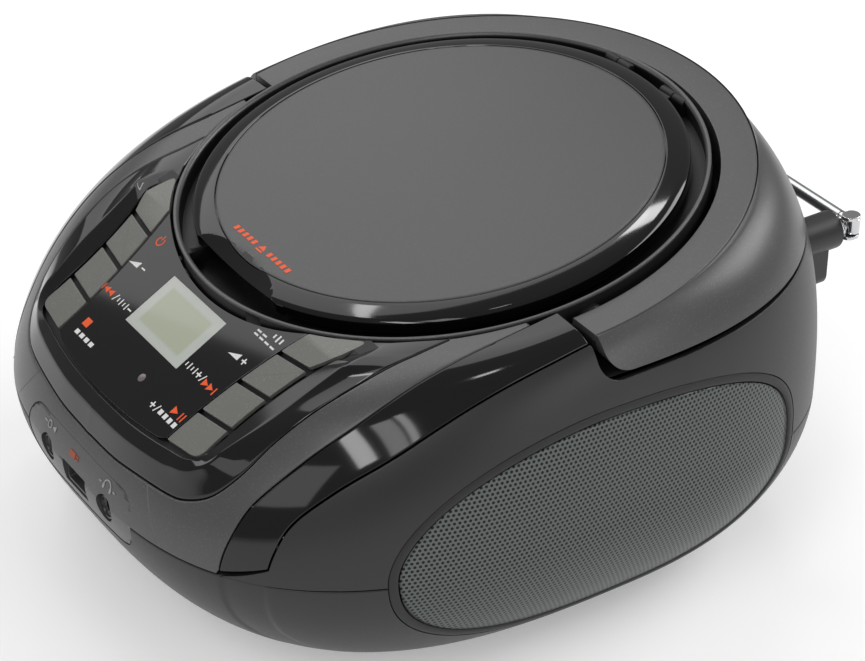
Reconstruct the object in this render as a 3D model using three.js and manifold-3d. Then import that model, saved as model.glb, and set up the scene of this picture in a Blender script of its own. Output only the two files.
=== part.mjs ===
// CD boombox: a pebble-shaped cabinet with a round lid, a carry handle and two side speakers.
// Millimetres, +Z up, front towards -Y, origin on the floor under the middle of the whole length.
import * as THREE from 'three';
import { mergeVertices } from 'three/addons/utils/BufferGeometryUtils.js';
import Module from 'manifold-3d';

const wasm = await Module();
wasm.setup();

// General clearances and counts.
const FIT = 0.3;
const OVERRUN = 60;
const MERGE = 0.0001;
const HALF_TURN = Math.PI;
const QUARTER_TURN = Math.PI / 2;
const ROUND_STEPS = 12;
const SMALL_STEPS = 8;
const CORNER_STEPS = 4;
const SEARCH_STEPS = 24;
const SIDES = [['l', -1], ['r', 1]];

// Disc well, the lid that covers it and the ring round the lid.
const DISC_RADIUS = 60;
const DISC_ROOM = 3;
const DISC_THICKNESS = 1.2;
const LID_OVERLAP = 12;
const LID_GAP = 4.3;
const RING_WALL = 1.7;
const RING_DROP = 0.6;
const WELL_RADIUS = DISC_RADIUS + DISC_ROOM;
const LID_RADIUS = WELL_RADIUS + LID_OVERLAP;
const RING_RADIUS = LID_RADIUS + LID_GAP + RING_WALL;

// Cabinet: a bowl below the parting line and a crown above it, both wider than the ring.
const SIDE_ROOM = 25.8;
const FRONT_ROOM = 47;
const REAR_ROOM = 20.6;
const CROWN_LEDGE = 5.8;
const BODY_HALF_WIDTH = RING_RADIUS + SIDE_ROOM;
const BODY_FRONT = RING_RADIUS + FRONT_ROOM;
const BODY_REAR = RING_RADIUS + REAR_ROOM;
const CROWN_RADIUS = RING_RADIUS + CROWN_LEDGE;
const BODY_CENTRE_Y = 13.2;
const BODY_PLAN_POWER = 2.83;
const BODY_WALL = 2.5;
const FOOT_HEIGHT = 3;
const BOWL_HEIGHT = 47;
const BOWL_TUCK_FRONT = 53.6;
const BOWL_TUCK_SIDE = 33.7;
const BOWL_TUCK_REAR = 50;
const BOWL_POWER = 1.75;
const CROWN_POWER_FRONT = 1.32;
const CROWN_POWER_SIDE = 2.72;
const CROWN_POWER_REAR = 2.4;
const CROWN_DROP = 1.2;
const BODY_STATIONS = 36;
const BOWL_STEPS = 4;
const CROWN_STEPS = 6;
const PARTING_Z = FOOT_HEIGHT + BOWL_HEIGHT;

// Deck and lid share a plane that slopes down to the front.
const DECK_Y = 11.8;
const DECK_RISE = 62;
const DECK_TILT = 0.1536;
const DECK_Z = PARTING_Z + DECK_RISE;

// Carry handle, folded round the rear of the deck.
const HANDLE_GAP = 2.5;
const HANDLE_STRIP = 11;
const HANDLE_DROP = 3.1;
const HANDLE_END_Y = 1.8;
const HANDLE_CORNER = 7;
const HANDLE_WALL = 2.4;
const HANDLE_PIVOT_Y = 9.5;
const HANDLE_PIVOT_DROP = 8.5;
const HANDLE_PIN_RADIUS = 2.5;
const HANDLE_PIN_DEPTH = 8;
const HANDLE_BOSS_RADIUS = 4.4;
const HANDLE_BOSS_GAP = 0.9;
const HANDLE_SEAT_GAP = 2.3;
const NOTCH_Y = -1;
const NOTCH_CORNER = 5;
const NOTCH_DROP = 16.3;
const NOTCH_SLOPE = 0.09;
const TROUGH_DEPTH = 1.7;
const HANDLE_INNER_RADIUS = RING_RADIUS + HANDLE_GAP;
const HANDLE_SEAM_RADIUS = HANDLE_INNER_RADIUS + HANDLE_STRIP;

// Edges of the gloss bands, as shares of the half width and of the front depth.
const BAND_INNER_SHARES = [
  [0.61, -0.905], [0.622, -0.873], [0.635, -0.836], [0.664, -0.78], [0.689, -0.723],
  [0.727, -0.605], [0.743, -0.43], [0.745, -0.291], [0.752, -0.111],
];
const BAND_OUTER_SHARES = [
  [0.718, -0.838], [0.724, -0.818], [0.733, -0.789], [0.777, -0.702], [0.825, -0.589],
  [0.85, -0.4875], [0.884, -0.228], [0.892, -0.1125],
];
const BAND_STATIONS = 14;
const BAND_FOOT_INNER = 0.9;
const BAND_FOOT_OUTER = 5.3;

// Control panel: its plane starts at the upper row of keys and falls to the front.
const PANEL_SETBACK = 3.1;
const PANEL_STEP = 4.14;
const PANEL_TILT = 0.513;
const FRAME_THICKNESS = 1.5;
const FRAME_STATIONS = 16;
const FRAME_OUTER_SHARES = [
  [0.66, -0.18], [0.656, -0.3], [0.648, -0.43], [0.641, -0.56], [0.626, -0.64], [0.597, -0.75],
  [0.574, -0.82], [0.53, -0.875], [0.46, -0.912], [0.39, -0.93], [0.183, -0.953], [0, -0.957],
];
const FRAME_FOLD_SHARES = [
  [0.622, -0.2], [0.62, -0.32], [0.606, -0.46], [0.578, -0.58], [0.563, -0.66], [0.54, -0.76],
  [0.52, -0.82], [0.482, -0.875], [0.425, -0.903], [0.36, -0.917], [0.18, -0.938], [0, -0.942],
];
const FRAME_INNER_SHARES = [
  [0.57, -0.26], [0.558, -0.38], [0.543, -0.5], [0.51, -0.59], [0.483, -0.665], [0.468, -0.75],
  [0.464, -0.815], [0.457, -0.855], [0.435, -0.883], [0.34, -0.9], [0.17, -0.917], [0, -0.921],
];
const FRAME_WAIST = 6;
const FRAME_SKIRT = 3.8;
const LENS_THICKNESS = 1.6;
const LENS_FOOT = 43.4;
const LENS_BOW = 3;
const LENS_RING_GAP = 1;
const LCD_HALF_WIDTH = 16;
const LCD_TOP = -4.2;
const LCD_HEIGHT = 19.7;
const LCD_THICKNESS = 1.2;
const IR_X = 8;
const IR_V = -32.3;
const IR_RADIUS = 1.3;
const KEY_ROWS = 4;
const KEY_PITCH = 13.45;
const KEY_GAP = 1.5;
const KEY_TOP_V = 16;
const KEY_FIRST_V = 0.3;
const KEY_LAST_V = -39.4;
const KEY_SLANT = 0.14;
const KEY_WIDTH = 14;
const KEY_MARGIN = 1.255;
const KEY_INNER_BOW = 0.003;
const KEY_OUTER_BOW = 0.0042;
const KEY_OUTER_WAIST = -28;
const KEY_PROUD = 0.4;
const KEY_CAP = 1.3;
const KEY_EDGE = 0.5;
const KEY_CORNER = 4;
const KEY_STEPS = 4;
const KEY_STEM = 3;
const KEY_STEM_LENGTH = 5.8;
const BASE_THICKNESS = 2;
const BASE_MARGIN = 1.6;
const BOARD_THICKNESS = 1.6;
const BOARD_DROP = 8;

// Socket panel low on the front.
const JACK_PANEL_HALF_WIDTH = 32.7;
const JACK_PANEL_RISE = -0.6;
const JACK_PANEL_HALF_HEIGHT = 9.2;
const JACK_PANEL_CORNER = 8;
const JACK_X = 18.3;
const JACK_DROP = 1.5;
const JACK_RADIUS = 4;
const JACK_BORE = 1.85;
const JACK_RECESS = 1.6;
const JACK_LENGTH = 13;
const USB_WIDTH = 14.4;
const USB_HEIGHT = 7.4;
const USB_DROP = 2.6;
const USB_LENGTH = 14;
const USB_WALL = 0.6;
const USB_TONGUE = 1.6;

// Speakers: an oval grille in a flush frame on each side, below the handle's notch.
const GRILLE_Y = 3;
const GRILLE_FOOT_Z = 16.5;
const GRILLE_LAND = 9.56;
const GRILLE_HALF_LENGTH = 67;
const GRILLE_FRONT_POWER = 2.15;
const GRILLE_REAR_POWER = 2.5;
const GRILLE_STATIONS = 24;
const GRILLE_RECESS = 0.5;
const GRILLE_SHEET = 1.2;
const GRILLE_LEDGE = 2;
const BEZEL_WIDTH = 3;
const BAFFLE_SETBACK = 22.8;
const BAFFLE_THICKNESS = 2;
const SPEAKER_RADIUS = 33;
const SPEAKER_CONE_RADIUS = 28;
const SPEAKER_FLANGE = 2;
const SPEAKER_CONE_DEPTH = 12;
const SPEAKER_MAGNET_RADIUS = 19;
const SPEAKER_MAGNET_DEPTH = 11;
const SPEAKER_DUST_CAP = 9;

// Finger gap, well depth, spindle and laser.
const GAP_DEPTH = 6.5;
const WELL_DEPTH = 13.5;
const DECK_FLOOR = 2;
const DECK_SKIRT = 24;
const SPINDLE_HOLE = 15;
const SPINDLE_RADIUS = 13;
const SPINDLE_HUB = 7.3;
const SPINDLE_TABLE = 2;
const SPINDLE_SHAFT = 1.6;
const SPINDLE_BALLS = 3;
const SPINDLE_BALL = 1.2;
const HUB_STEPS = 18;
const DISC_HEIGHT = 4;
const SLED_SLOT_WIDTH = 18;
const SLED_LENGTH = 14;
const SLED_WIDTH = 30;
const SLED_START = 18;
const SLED_MARGIN = 3;
const SADDLE_LENGTH = 4;
const LASER_LENS = 2.2;
const ROD_RADIUS = 1.5;
const ROD_SPACING = 12;
const CHASSIS_DROP = 14;
const CHASSIS_THICKNESS = 1.5;
const CHASSIS_REAR = 25;
const CHASSIS_FRONT_MARGIN = 5;
const CHASSIS_POST_X = 24;
const CHASSIS_POST_REAR = 18;
const CHASSIS_POST_MARGIN = 13;
const MOTOR_RADIUS = 11;
const MOTOR_HEIGHT = 9;

// Lid: a charcoal disc set in a gloss rim with a finger notch.
const LID_BORDER = 7.1;
const LID_CROWN = 2.6;
const LID_FLAT = 2;
const LID_SKIRT = 3.4;
const LID_WALL = 2;
const LID_EDGE = 0.8;
const LID_INLAY = 1;
const LID_STEPS = 36;
const NOTCH_CUT = 3.6;
const NOTCH_RUN = 5.4;
const NOTCH_LOW = 1.2;
const NOTCH_HALF_WIDTH = 22;
const NOTCH_SAG = 1.5;
const HINGE_SETBACK = 2.2;
const HINGE_DROP = 2.6;
const HINGE_RADIUS = 1.7;
const HINGE_PIN_RADIUS = 0.7;
const HINGE_X = 8;
const HINGE_WIDTH = 6;
const FINGER_HALF_WIDTH = 24;
const FINGER_DEPTH = 5;
const FINGER_SETBACK = 3;

// Underside: battery box, door and feet.
const BATTERY_HALF_WIDTH = 41;
const BATTERY_Y = 5;
const BATTERY_HALF_DEPTH = 51;
const BATTERY_HEIGHT = 28;
const BATTERY_WALL = 1.6;
const DOOR_THICKNESS = 2;
const DOOR_LEDGE = 3;
const FOOT_RADIUS = 7;
const FOOT_SINK = 1;
const FOOT_PLACE_SHARES = [[0.56, -0.455], [0.58, 0.18]];

// Rear: mains inlet, transformer, circuit board.
const INLET_X = -38;
const INLET_RISE = -16;
const INLET_HALF_WIDTH = 10.5;
const INLET_HALF_HEIGHT = 7;
const INLET_LENGTH = 20;
const INLET_SOCKET_RADIUS = 3.6;
const INLET_DEPTH = 14;
const INLET_WAIST = 2.9;
const INLET_PIN_RADIUS = 1.1;
const INLET_PIN_PITCH = 8.6;
const CORE_WIDTH = 41;
const CORE_DEPTH = 17;
const CORE_HEIGHT = 34;
const COIL_DEPTH = 24;
const COIL_WIDTH = 26;
const TRANSFORMER_X = -34;
const TRANSFORMER_SETBACK = 42.8;
const TRANSFORMER_Z = 13;
const POST_RADIUS = 3;
const MAIN_BOARD_HALF_WIDTH = 44;
const MAIN_BOARD_HALF_DEPTH = 30;
const MAIN_BOARD_Y = -8;
const MAIN_BOARD_Z = 40;

// Telescopic antenna, folded along the back.
const BOSS_X = 59.3;
const BOSS_DROP = 24;
const BOSS_RADIUS = 6;
const BOSS_PROUD = 1.8;
const LUG_WIDTH = 9;
const LUG_HEIGHT = 17;
const LUG_SETBACK = 2.8;
const SWIVEL_RADIUS = 5;
const SWIVEL_THICKNESS = 1;
const SHAFT_RADIUS = 2;
const ROD_REACH = 4.2;
const ROD_RISE = 2.3;
const KNUCKLE_REACH = 4.5;
const KNUCKLE_RADIUS = 2.5;
const COLLAR_LENGTH = 3;
const SECTION_RADII = [2.1, 1.55, 1.05, 0.55];
const SECTION_BORES = [1.75, 1.25, 0.75, 0];
const SECTION_LENGTH = 150;
const SECTION_PROUD = 3;
const SECTION_STEP = 1.5;
const TIP_RADIUS = 1.9;
const TIP_LENGTH = 5;

// Colours, roughness and metalness of the materials.
const finishes = {
  matte: [0x2b2c2c, 0.62, 0],
  charcoal: [0x4b4c4c, 0.5, 0.1],
  gloss: [0x0b0b0c, 0.12, 0],
  key: [0x7d7d76, 0.45, 0.2],
  lens: [0x060607, 0.06, 0],
  lcd: [0xaab09c, 0.4, 0],
  metal: [0xc4c6c8, 0.25, 1],
  grille: [0x3d4240, 0.5, 0.7],
  rubber: [0x161616, 0.9, 0],
  board: [0x2c5a34, 0.7, 0],
  cone: [0x1c1c1e, 0.85, 0],
  infrared: [0x5d5560, 0.3, 0],
};

// A geometry as a solid that can be cut and joined.
function solid(geometry) {
  const bare = geometry.index ? geometry.toNonIndexed() : geometry.clone();
  for (const name of Object.keys(bare.attributes)) {
    if (name !== 'position') bare.deleteAttribute(name);
  }
  const merged = mergeVertices(bare, MERGE);
  const vertProperties = merged.attributes.position.array;
  const triVerts = new Uint32Array(merged.index.array);
  return new wasm.Manifold(new wasm.Mesh({ numProp: 3, vertProperties, triVerts }));
}

// A solid as a geometry with flat shading.
function geometryOf(body) {
  const { vertProperties, triVerts } = body.getMesh();
  const shared = new THREE.BufferGeometry();
  shared.setAttribute('position', new THREE.BufferAttribute(vertProperties, 3));
  shared.setIndex(new THREE.BufferAttribute(triVerts, 1));
  const flat = shared.toNonIndexed();
  flat.computeVertexNormals();
  return flat;
}

function join(...bodies) {
  return bodies.reduce((sum, body) => sum.add(body));
}

function cut(body, ...tools) {
  return tools.reduce((rest, tool) => rest.subtract(tool), body);
}

function common(...bodies) {
  return bodies.reduce((rest, body) => rest.intersect(body));
}

// Prisms along each axis from an outline of [a, b] points.
function extruded(points, depth, matrix) {
  const shape = new THREE.Shape(points.map(([a, b]) => new THREE.Vector2(a, b)));
  const geometry = new THREE.ExtrudeGeometry(shape, { depth, bevelEnabled: false, curveSegments: 1 });
  return solid(geometry.applyMatrix4(matrix));
}

const axisX = new THREE.Vector3(1, 0, 0);
const axisY = new THREE.Vector3(0, 1, 0);
const axisZ = new THREE.Vector3(0, 0, 1);

function prismX(points, x0, x1) {
  const basis = new THREE.Matrix4().makeBasis(axisY, axisZ, axisX);
  return extruded(points, x1 - x0, basis.setPosition(x0, 0, 0));
}

function prismY(points, y0, y1) {
  const basis = new THREE.Matrix4().makeBasis(axisX, axisZ, axisY.clone().negate());
  return extruded(points, y1 - y0, basis.setPosition(0, y1, 0));
}

function prismZ(points, z0, z1) {
  return extruded(points, z1 - z0, new THREE.Matrix4().setPosition(0, 0, z0));
}

function rectangle(x0, x1, y0, y1) {
  return [[x0, y0], [x1, y0], [x1, y1], [x0, y1]];
}

function block(x0, x1, y0, y1, z0, z1) {
  return prismZ(rectangle(x0, x1, y0, y1), z0, z1);
}

// A rectangle about a centre, its corners rounded in arcs.
function roundedRectangle(cx, cy, halfX, halfY, radius, steps = CORNER_STEPS) {
  const points = [];
  const corners = [[1, 1, 0], [-1, 1, 1], [-1, -1, 2], [1, -1, 3]];
  for (const [sx, sy, quarter] of corners) {
    for (let i = 0; i <= steps; i += 1) {
      const angle = (quarter + i / steps) * QUARTER_TURN;
      points.push([
        cx + sx * (halfX - radius) + radius * Math.cos(angle),
        cy + sy * (halfY - radius) + radius * Math.sin(angle),
      ]);
    }
  }
  return points;
}

// A full turn of a closed [radius, height] profile about Z.
function turned(profile, steps) {
  const points = profile.map(([r, h]) => new THREE.Vector2(r, h));
  if (THREE.ShapeUtils.area(points) < 0) points.reverse();
  points.push(points[0].clone());
  const geometry = new THREE.LatheGeometry(points, steps);
  return solid(geometry.rotateX(QUARTER_TURN));
}

function cylinder(radius, z0, z1, steps = ROUND_STEPS) {
  return turned([[0, z0], [radius, z0], [radius, z1], [0, z1]], steps);
}

function moved(body, matrix) {
  return body.transform(matrix.toArray());
}

function shifted(body, x, y, z) {
  return body.translate([x, y, z]);
}

// A cylinder along X or Y through a point.
function rodX(radius, x0, x1, y, z, steps = ROUND_STEPS) {
  const turn = new THREE.Matrix4().makeBasis(axisY, axisZ, axisX).setPosition(x0, y, z);
  return moved(cylinder(radius, 0, x1 - x0, steps), turn);
}

function rodY(radius, y0, y1, x, z, steps = ROUND_STEPS) {
  const turn = new THREE.Matrix4().makeBasis(axisZ, axisX, axisY).setPosition(x, y0, z);
  return moved(cylinder(radius, 0, y1 - y0, steps), turn);
}

// Rings of equal counts of points, bottom first, closed by a fan at each end.
function loft(rings) {
  const count = rings[0].length;
  const places = rings.flat();
  const faces = [];
  for (let ring = 0; ring + 1 < rings.length; ring += 1) {
    for (let i = 0; i < count; i += 1) {
      const next = (i + 1) % count;
      const a = ring * count + i;
      const b = ring * count + next;
      faces.push(a, b, b + count, a, b + count, a + count);
    }
  }
  const middle = (ring) => ring.reduce((sum, p) => sum.add(p), new THREE.Vector3()).divideScalar(count);
  const low = places.push(middle(rings[0])) - 1;
  const high = places.push(middle(rings[rings.length - 1])) - 1;
  const last = (rings.length - 1) * count;
  for (let i = 0; i < count; i += 1) {
    const next = (i + 1) % count;
    faces.push(low, next, i, high, last + i, last + next);
  }
  const geometry = new THREE.BufferGeometry().setFromPoints(places);
  geometry.setIndex(faces);
  return solid(geometry);
}

// A share between front, side and rear values round the plan.
function around(angle, front, side, rear) {
  const sine = Math.sin(angle);
  return side + ((sine < 0 ? front : rear) - side) * sine * sine;
}

function planRadius(angle, inset) {
  const depth = (Math.sin(angle) < 0 ? BODY_FRONT : BODY_REAR) - inset;
  const across = Math.abs(Math.cos(angle) / (BODY_HALF_WIDTH - inset)) ** BODY_PLAN_POWER;
  const along = Math.abs(Math.sin(angle) / depth) ** BODY_PLAN_POWER;
  return (across + along) ** (-1 / BODY_PLAN_POWER);
}

function deckHeight(y) {
  return DECK_Z + Math.tan(DECK_TILT) * (y - DECK_Y);
}

function bowlPoint(angle, share, inset) {
  const turn = share * QUARTER_TURN;
  const tuck = around(angle, BOWL_TUCK_FRONT, BOWL_TUCK_SIDE, BOWL_TUCK_REAR);
  const radius = planRadius(angle, inset) - tuck * (1 - Math.max(Math.cos(turn), 0) ** (2 / BOWL_POWER));
  const drop = (BOWL_HEIGHT - inset) * Math.sin(turn) ** (2 / BOWL_POWER);
  return new THREE.Vector3(
    radius * Math.cos(angle), BODY_CENTRE_Y + radius * Math.sin(angle), PARTING_Z - drop,
  );
}

function crownPoint(angle, share, inset) {
  const turn = share * QUARTER_TURN;
  const power = around(angle, CROWN_POWER_FRONT, CROWN_POWER_SIDE, CROWN_POWER_REAR);
  const out = Math.max(Math.cos(turn), 0) ** (2 / power);
  const up = Math.sin(turn) ** (2 / power);
  const low = planRadius(angle, inset);
  const high = CROWN_RADIUS - inset;
  const topY = DECK_Y + high * Math.sin(angle);
  const topZ = deckHeight(topY) - CROWN_DROP - inset;
  const lowY = BODY_CENTRE_Y + low * Math.sin(angle);
  return new THREE.Vector3(
    (high + (low - high) * out) * Math.cos(angle),
    topY + (lowY - topY) * out,
    PARTING_Z + (topZ - PARTING_Z) * up,
  );
}

// The whole cabinet as one solid, drawn in by an inset.
function bodySolid(inset) {
  const rings = [];
  const ring = (point, share) => Array.from({ length: BODY_STATIONS }, (_, i) => (
    point((i * 2 * HALF_TURN) / BODY_STATIONS, share, inset)
  ));
  for (let i = BOWL_STEPS; i >= 0; i -= 1) rings.push(ring(bowlPoint, i / BOWL_STEPS));
  for (let i = 1; i <= CROWN_STEPS; i += 1) rings.push(ring(crownPoint, i / CROWN_STEPS));
  return loft(rings);
}

// A smooth plan curve through shares of the half width and the front depth.
function planCurve(shares, steps) {
  const points = shares.map(([a, b]) => (
    new THREE.Vector3(a * BODY_HALF_WIDTH, BODY_CENTRE_Y + b * BODY_FRONT, 0)
  ));
  const curve = new THREE.CatmullRomCurve3(points, false, 'centripetal');
  return curve.getPoints(steps).map((p) => [p.x, p.y]);
}

const PANEL_Y = DECK_Y - RING_RADIUS + PANEL_SETBACK;
const PANEL_Z = deckHeight(PANEL_Y) - PANEL_STEP;
const deckFrame = new THREE.Matrix4().makeRotationX(DECK_TILT).setPosition(0, DECK_Y, DECK_Z);
const panelFrame = new THREE.Matrix4().makeRotationX(PANEL_TILT).setPosition(0, PANEL_Y, PANEL_Z);

const TOP_Z = DECK_Z + OVERRUN;
const outer = bodySolid(0);
const inner = bodySolid(BODY_WALL);
const shell = cut(outer, inner);
const wide = BODY_HALF_WIDTH + OVERRUN;
const deep = BODY_FRONT + OVERRUN;
const aboveParting = block(-wide, wide, -deep, deep, PARTING_Z + FIT / 2, TOP_Z);
const belowParting = block(-wide, wide, -deep, deep, -OVERRUN, PARTING_Z - FIT / 2);
const upperShell = common(shell, aboveParting);
const lowerShell = common(shell, belowParting);

function deckPlug(radius) {
  return moved(cylinder(radius, -OVERRUN, OVERRUN, BODY_STATIONS), deckFrame);
}

const deckHole = deckPlug(RING_RADIUS + FIT);

// Plan regions of the front cover and the gloss bands.
const bandInner = planCurve(BAND_INNER_SHARES, BAND_STATIONS);
const bandOuter = planCurve(BAND_OUTER_SHARES, BAND_STATIONS);

function openFront(points, side, shift) {
  const edge = points.map(([x, y]) => [side * (x + shift), y]);
  const first = edge[0];
  const last = edge[edge.length - 1];
  return [[first[0], -deep], ...edge, [last[0], deep]];
}

function coverRegion(shift, endY) {
  const right = openFront(bandInner, 1, shift);
  const left = openFront(bandInner, -1, shift).reverse();
  return common(prismZ([...right, ...left], -OVERRUN, TOP_Z), block(-wide, wide, -deep, endY, 0, TOP_Z));
}

// The gloss band ends on a slanted foot a little above the parting line.
function bandRegion(side, innerShift, outerShift, footShift, endY) {
  const inside = openFront(bandInner, side, innerShift);
  const outside = openFront(bandOuter, side, outerShift).reverse();
  const region = prismZ([...inside, ...outside], -OVERRUN, TOP_Z);
  const footX0 = bandInner[0][0];
  const footX1 = bandOuter[0][0];
  const slope = (BAND_FOOT_OUTER - BAND_FOOT_INNER) / (footX1 - footX0);
  const footZ = (x) => PARTING_Z + BAND_FOOT_INNER + footShift + slope * (x - footX0);
  const above = prismY([
    [0, footZ(footX0)], [side * footX0, footZ(footX0)], [side * footX1, footZ(footX1)],
    [side * wide, footZ(footX1)], [side * wide, TOP_Z], [0, TOP_Z],
  ], -deep, endY);
  return common(region, above);
}

// The notch for the folded handle, open above a line that climbs to the rear.
function gapHeight(y) {
  return DECK_Z - NOTCH_DROP + NOTCH_SLOPE * (y - NOTCH_Y);
}

function notchOutline(startY, radius, rise) {
  const points = [[deep, gapHeight(deep) + rise], [deep, TOP_Z], [startY, TOP_Z]];
  const steps = CORNER_STEPS;
  for (let i = 0; i <= steps; i += 1) {
    const angle = HALF_TURN + (i / steps) * QUARTER_TURN;
    const y = startY + radius + radius * Math.cos(angle);
    const centreZ = gapHeight(startY + radius) + rise + radius;
    points.push([y, centreZ + radius * Math.sin(angle)]);
  }
  return points;
}

const notch = prismX(notchOutline(NOTCH_Y, NOTCH_CORNER, 0), -wide, wide);

// The raised edge of the control frame in plan, closed across the deck.
const frameOuter = planCurve(FRAME_OUTER_SHARES, FRAME_STATIONS);
const frameFold = planCurve(FRAME_FOLD_SHARES, FRAME_STATIONS);
const frameInner = planCurve(FRAME_INNER_SHARES, FRAME_STATIONS);

function mirrored(points) {
  return [...points, ...points.slice(0, -1).reverse().map(([x, y]) => [-x, y])];
}

// Each point of a U-shaped plan line moved out from the middle of the panel.
function widened(points, distance) {
  return points.map(([x, y], i) => {
    const [x0, y0] = points[Math.max(i - 1, 0)];
    const [x1, y1] = points[Math.min(i + 1, points.length - 1)];
    const length = Math.hypot(x1 - x0, y1 - y0);
    return [x - ((y1 - y0) / length) * distance, y + ((x1 - x0) / length) * distance];
  });
}

const frameHole = prismZ(widened(mirrored(frameOuter), FIT), -OVERRUN, TOP_Z);

// Socket panel outline and its hole.
const jackPanelZ = PARTING_Z + JACK_PANEL_RISE;
const jackZ = PARTING_Z - JACK_DROP;
const usbZ = PARTING_Z - USB_DROP;
const frontY = BODY_CENTRE_Y - BODY_FRONT;
const rearY = BODY_CENTRE_Y + BODY_REAR;

function jackPanelPrism(grow) {
  const halfX = JACK_PANEL_HALF_WIDTH + grow;
  const halfZ = JACK_PANEL_HALF_HEIGHT + grow;
  const outline = roundedRectangle(0, jackPanelZ, halfX, halfZ, JACK_PANEL_CORNER + grow);
  return prismY(outline, frontY - OVERRUN, frontY + OVERRUN);
}

// Oval outlines of the grille, seen from the side.
const baffleX = BODY_HALF_WIDTH - BAFFLE_SETBACK;
const grilleTopZ = gapHeight(GRILLE_Y) - GRILLE_LAND;
const grilleZ = (grilleTopZ + GRILLE_FOOT_Z) / 2;
const grilleHalfHeight = (grilleTopZ - GRILLE_FOOT_Z) / 2;

function grilleOutline(grow) {
  return Array.from({ length: GRILLE_STATIONS }, (_, i) => {
    const angle = (i * 2 * HALF_TURN) / GRILLE_STATIONS;
    const power = Math.cos(angle) < 0 ? GRILLE_FRONT_POWER : GRILLE_REAR_POWER;
    const reachY = Math.abs(Math.cos(angle)) ** (2 / power) * Math.sign(Math.cos(angle));
    const reachZ = Math.abs(Math.sin(angle)) ** (2 / power) * Math.sign(Math.sin(angle));
    return [
      GRILLE_Y + (GRILLE_HALF_LENGTH + grow) * reachY,
      grilleZ + (grilleHalfHeight + grow) * reachZ,
    ];
  });
}

function grillePrism(side, grow, fromX) {
  const outline = grilleOutline(grow);
  return side > 0 ? prismX(outline, fromX, wide) : prismX(outline, -wide, -fromX);
}

const grilleHoles = SIDES.map(([, side]) => grillePrism(side, BEZEL_WIDTH + FIT, baffleX - FIT));

// The group that holds every sub-part.
const boombox = new THREE.Group();
boombox.name = 'cd_boombox';

function addPart(name, body, finish, group = boombox) {
  const [color, roughness, metalness] = finishes[finish];
  const material = new THREE.MeshStandardMaterial({ color, roughness, metalness });
  const mesh = new THREE.Mesh(geometryOf(body), material);
  mesh.name = name;
  group.add(mesh);
}

function tiltedGroup(frame) {
  const group = new THREE.Group();
  group.applyMatrix4(frame);
  boombox.add(group);
  return group;
}

const deckGroup = tiltedGroup(deckFrame);
const panelGroup = tiltedGroup(panelFrame);

// Lower cabinet, with its openings and posts.
const floorZ = FOOT_HEIGHT + BODY_WALL;
const footPlaces = SIDES.flatMap(([tag, side]) => FOOT_PLACE_SHARES.map(([a, b], i) => (
  [`foot_${i ? 'rear' : 'front'}_${tag}`, side * a * BODY_HALF_WIDTH, BODY_CENTRE_Y + b * BODY_FRONT]
)));
const batteryY0 = BATTERY_Y - BATTERY_HALF_DEPTH;
const batteryY1 = BATTERY_Y + BATTERY_HALF_DEPTH;

function batteryOutline(grow) {
  const halfX = BATTERY_HALF_WIDTH + grow;
  return rectangle(-halfX, halfX, batteryY0 - grow, batteryY1 + grow);
}

const inletZ = PARTING_Z + INLET_RISE;

function inletPrism(grow) {
  const halfX = INLET_HALF_WIDTH + grow;
  const halfZ = INLET_HALF_HEIGHT + grow;
  const outline = roundedRectangle(INLET_X, inletZ, halfX, halfZ, INLET_HALF_HEIGHT - FIT + grow);
  return prismY(outline, rearY - OVERRUN, rearY + OVERRUN);
}

const transformerY = rearY - TRANSFORMER_SETBACK;
const boardPosts = SIDES.flatMap(([, side]) => [-1, 1].map((end) => [
  side * (MAIN_BOARD_HALF_WIDTH + POST_RADIUS),
  MAIN_BOARD_Y + end * (MAIN_BOARD_HALF_DEPTH - 2 * POST_RADIUS),
]));

function lowerCabinet() {
  const doorWell = prismZ(batteryOutline(DOOR_LEDGE + FIT), -OVERRUN, FOOT_HEIGHT + DOOR_THICKNESS - FIT);
  const bay = prismZ(batteryOutline(0), -OVERRUN, PARTING_Z);
  const room = bodySolid(BODY_WALL / 2);
  const post = (top, x, y) => shifted(cylinder(POST_RADIUS, FOOT_HEIGHT, top, SMALL_STEPS), x, y, 0);
  const boardTops = boardPosts.map(([x, y]) => post(MAIN_BOARD_Z - FIT, x, y));
  const coreTops = [-1, 1].map((end) => {
    const x = TRANSFORMER_X + (end * (CORE_WIDTH - 2 * POST_RADIUS)) / 2;
    return post(TRANSFORMER_Z - FIT, x, transformerY);
  });
  const posts = common(join(...boardTops, ...coreTops), room);
  const seats = footPlaces.map(([, x, y]) => (
    shifted(cylinder(FOOT_RADIUS + FIT, -OVERRUN, FOOT_HEIGHT + FOOT_SINK + FIT), x, y, 0)
  ));
  return cut(
    join(lowerShell, posts), doorWell, bay, ...seats, ...grilleHoles, jackPanelPrism(FIT), inletPrism(FIT),
  );
}

addPart('lower_cabinet', lowerCabinet(), 'matte');
const bossZ = DECK_Z - BOSS_DROP;
const bossEndY = rearY + BOSS_PROUD;
const lugEndY = rearY - LUG_SETBACK;

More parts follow.
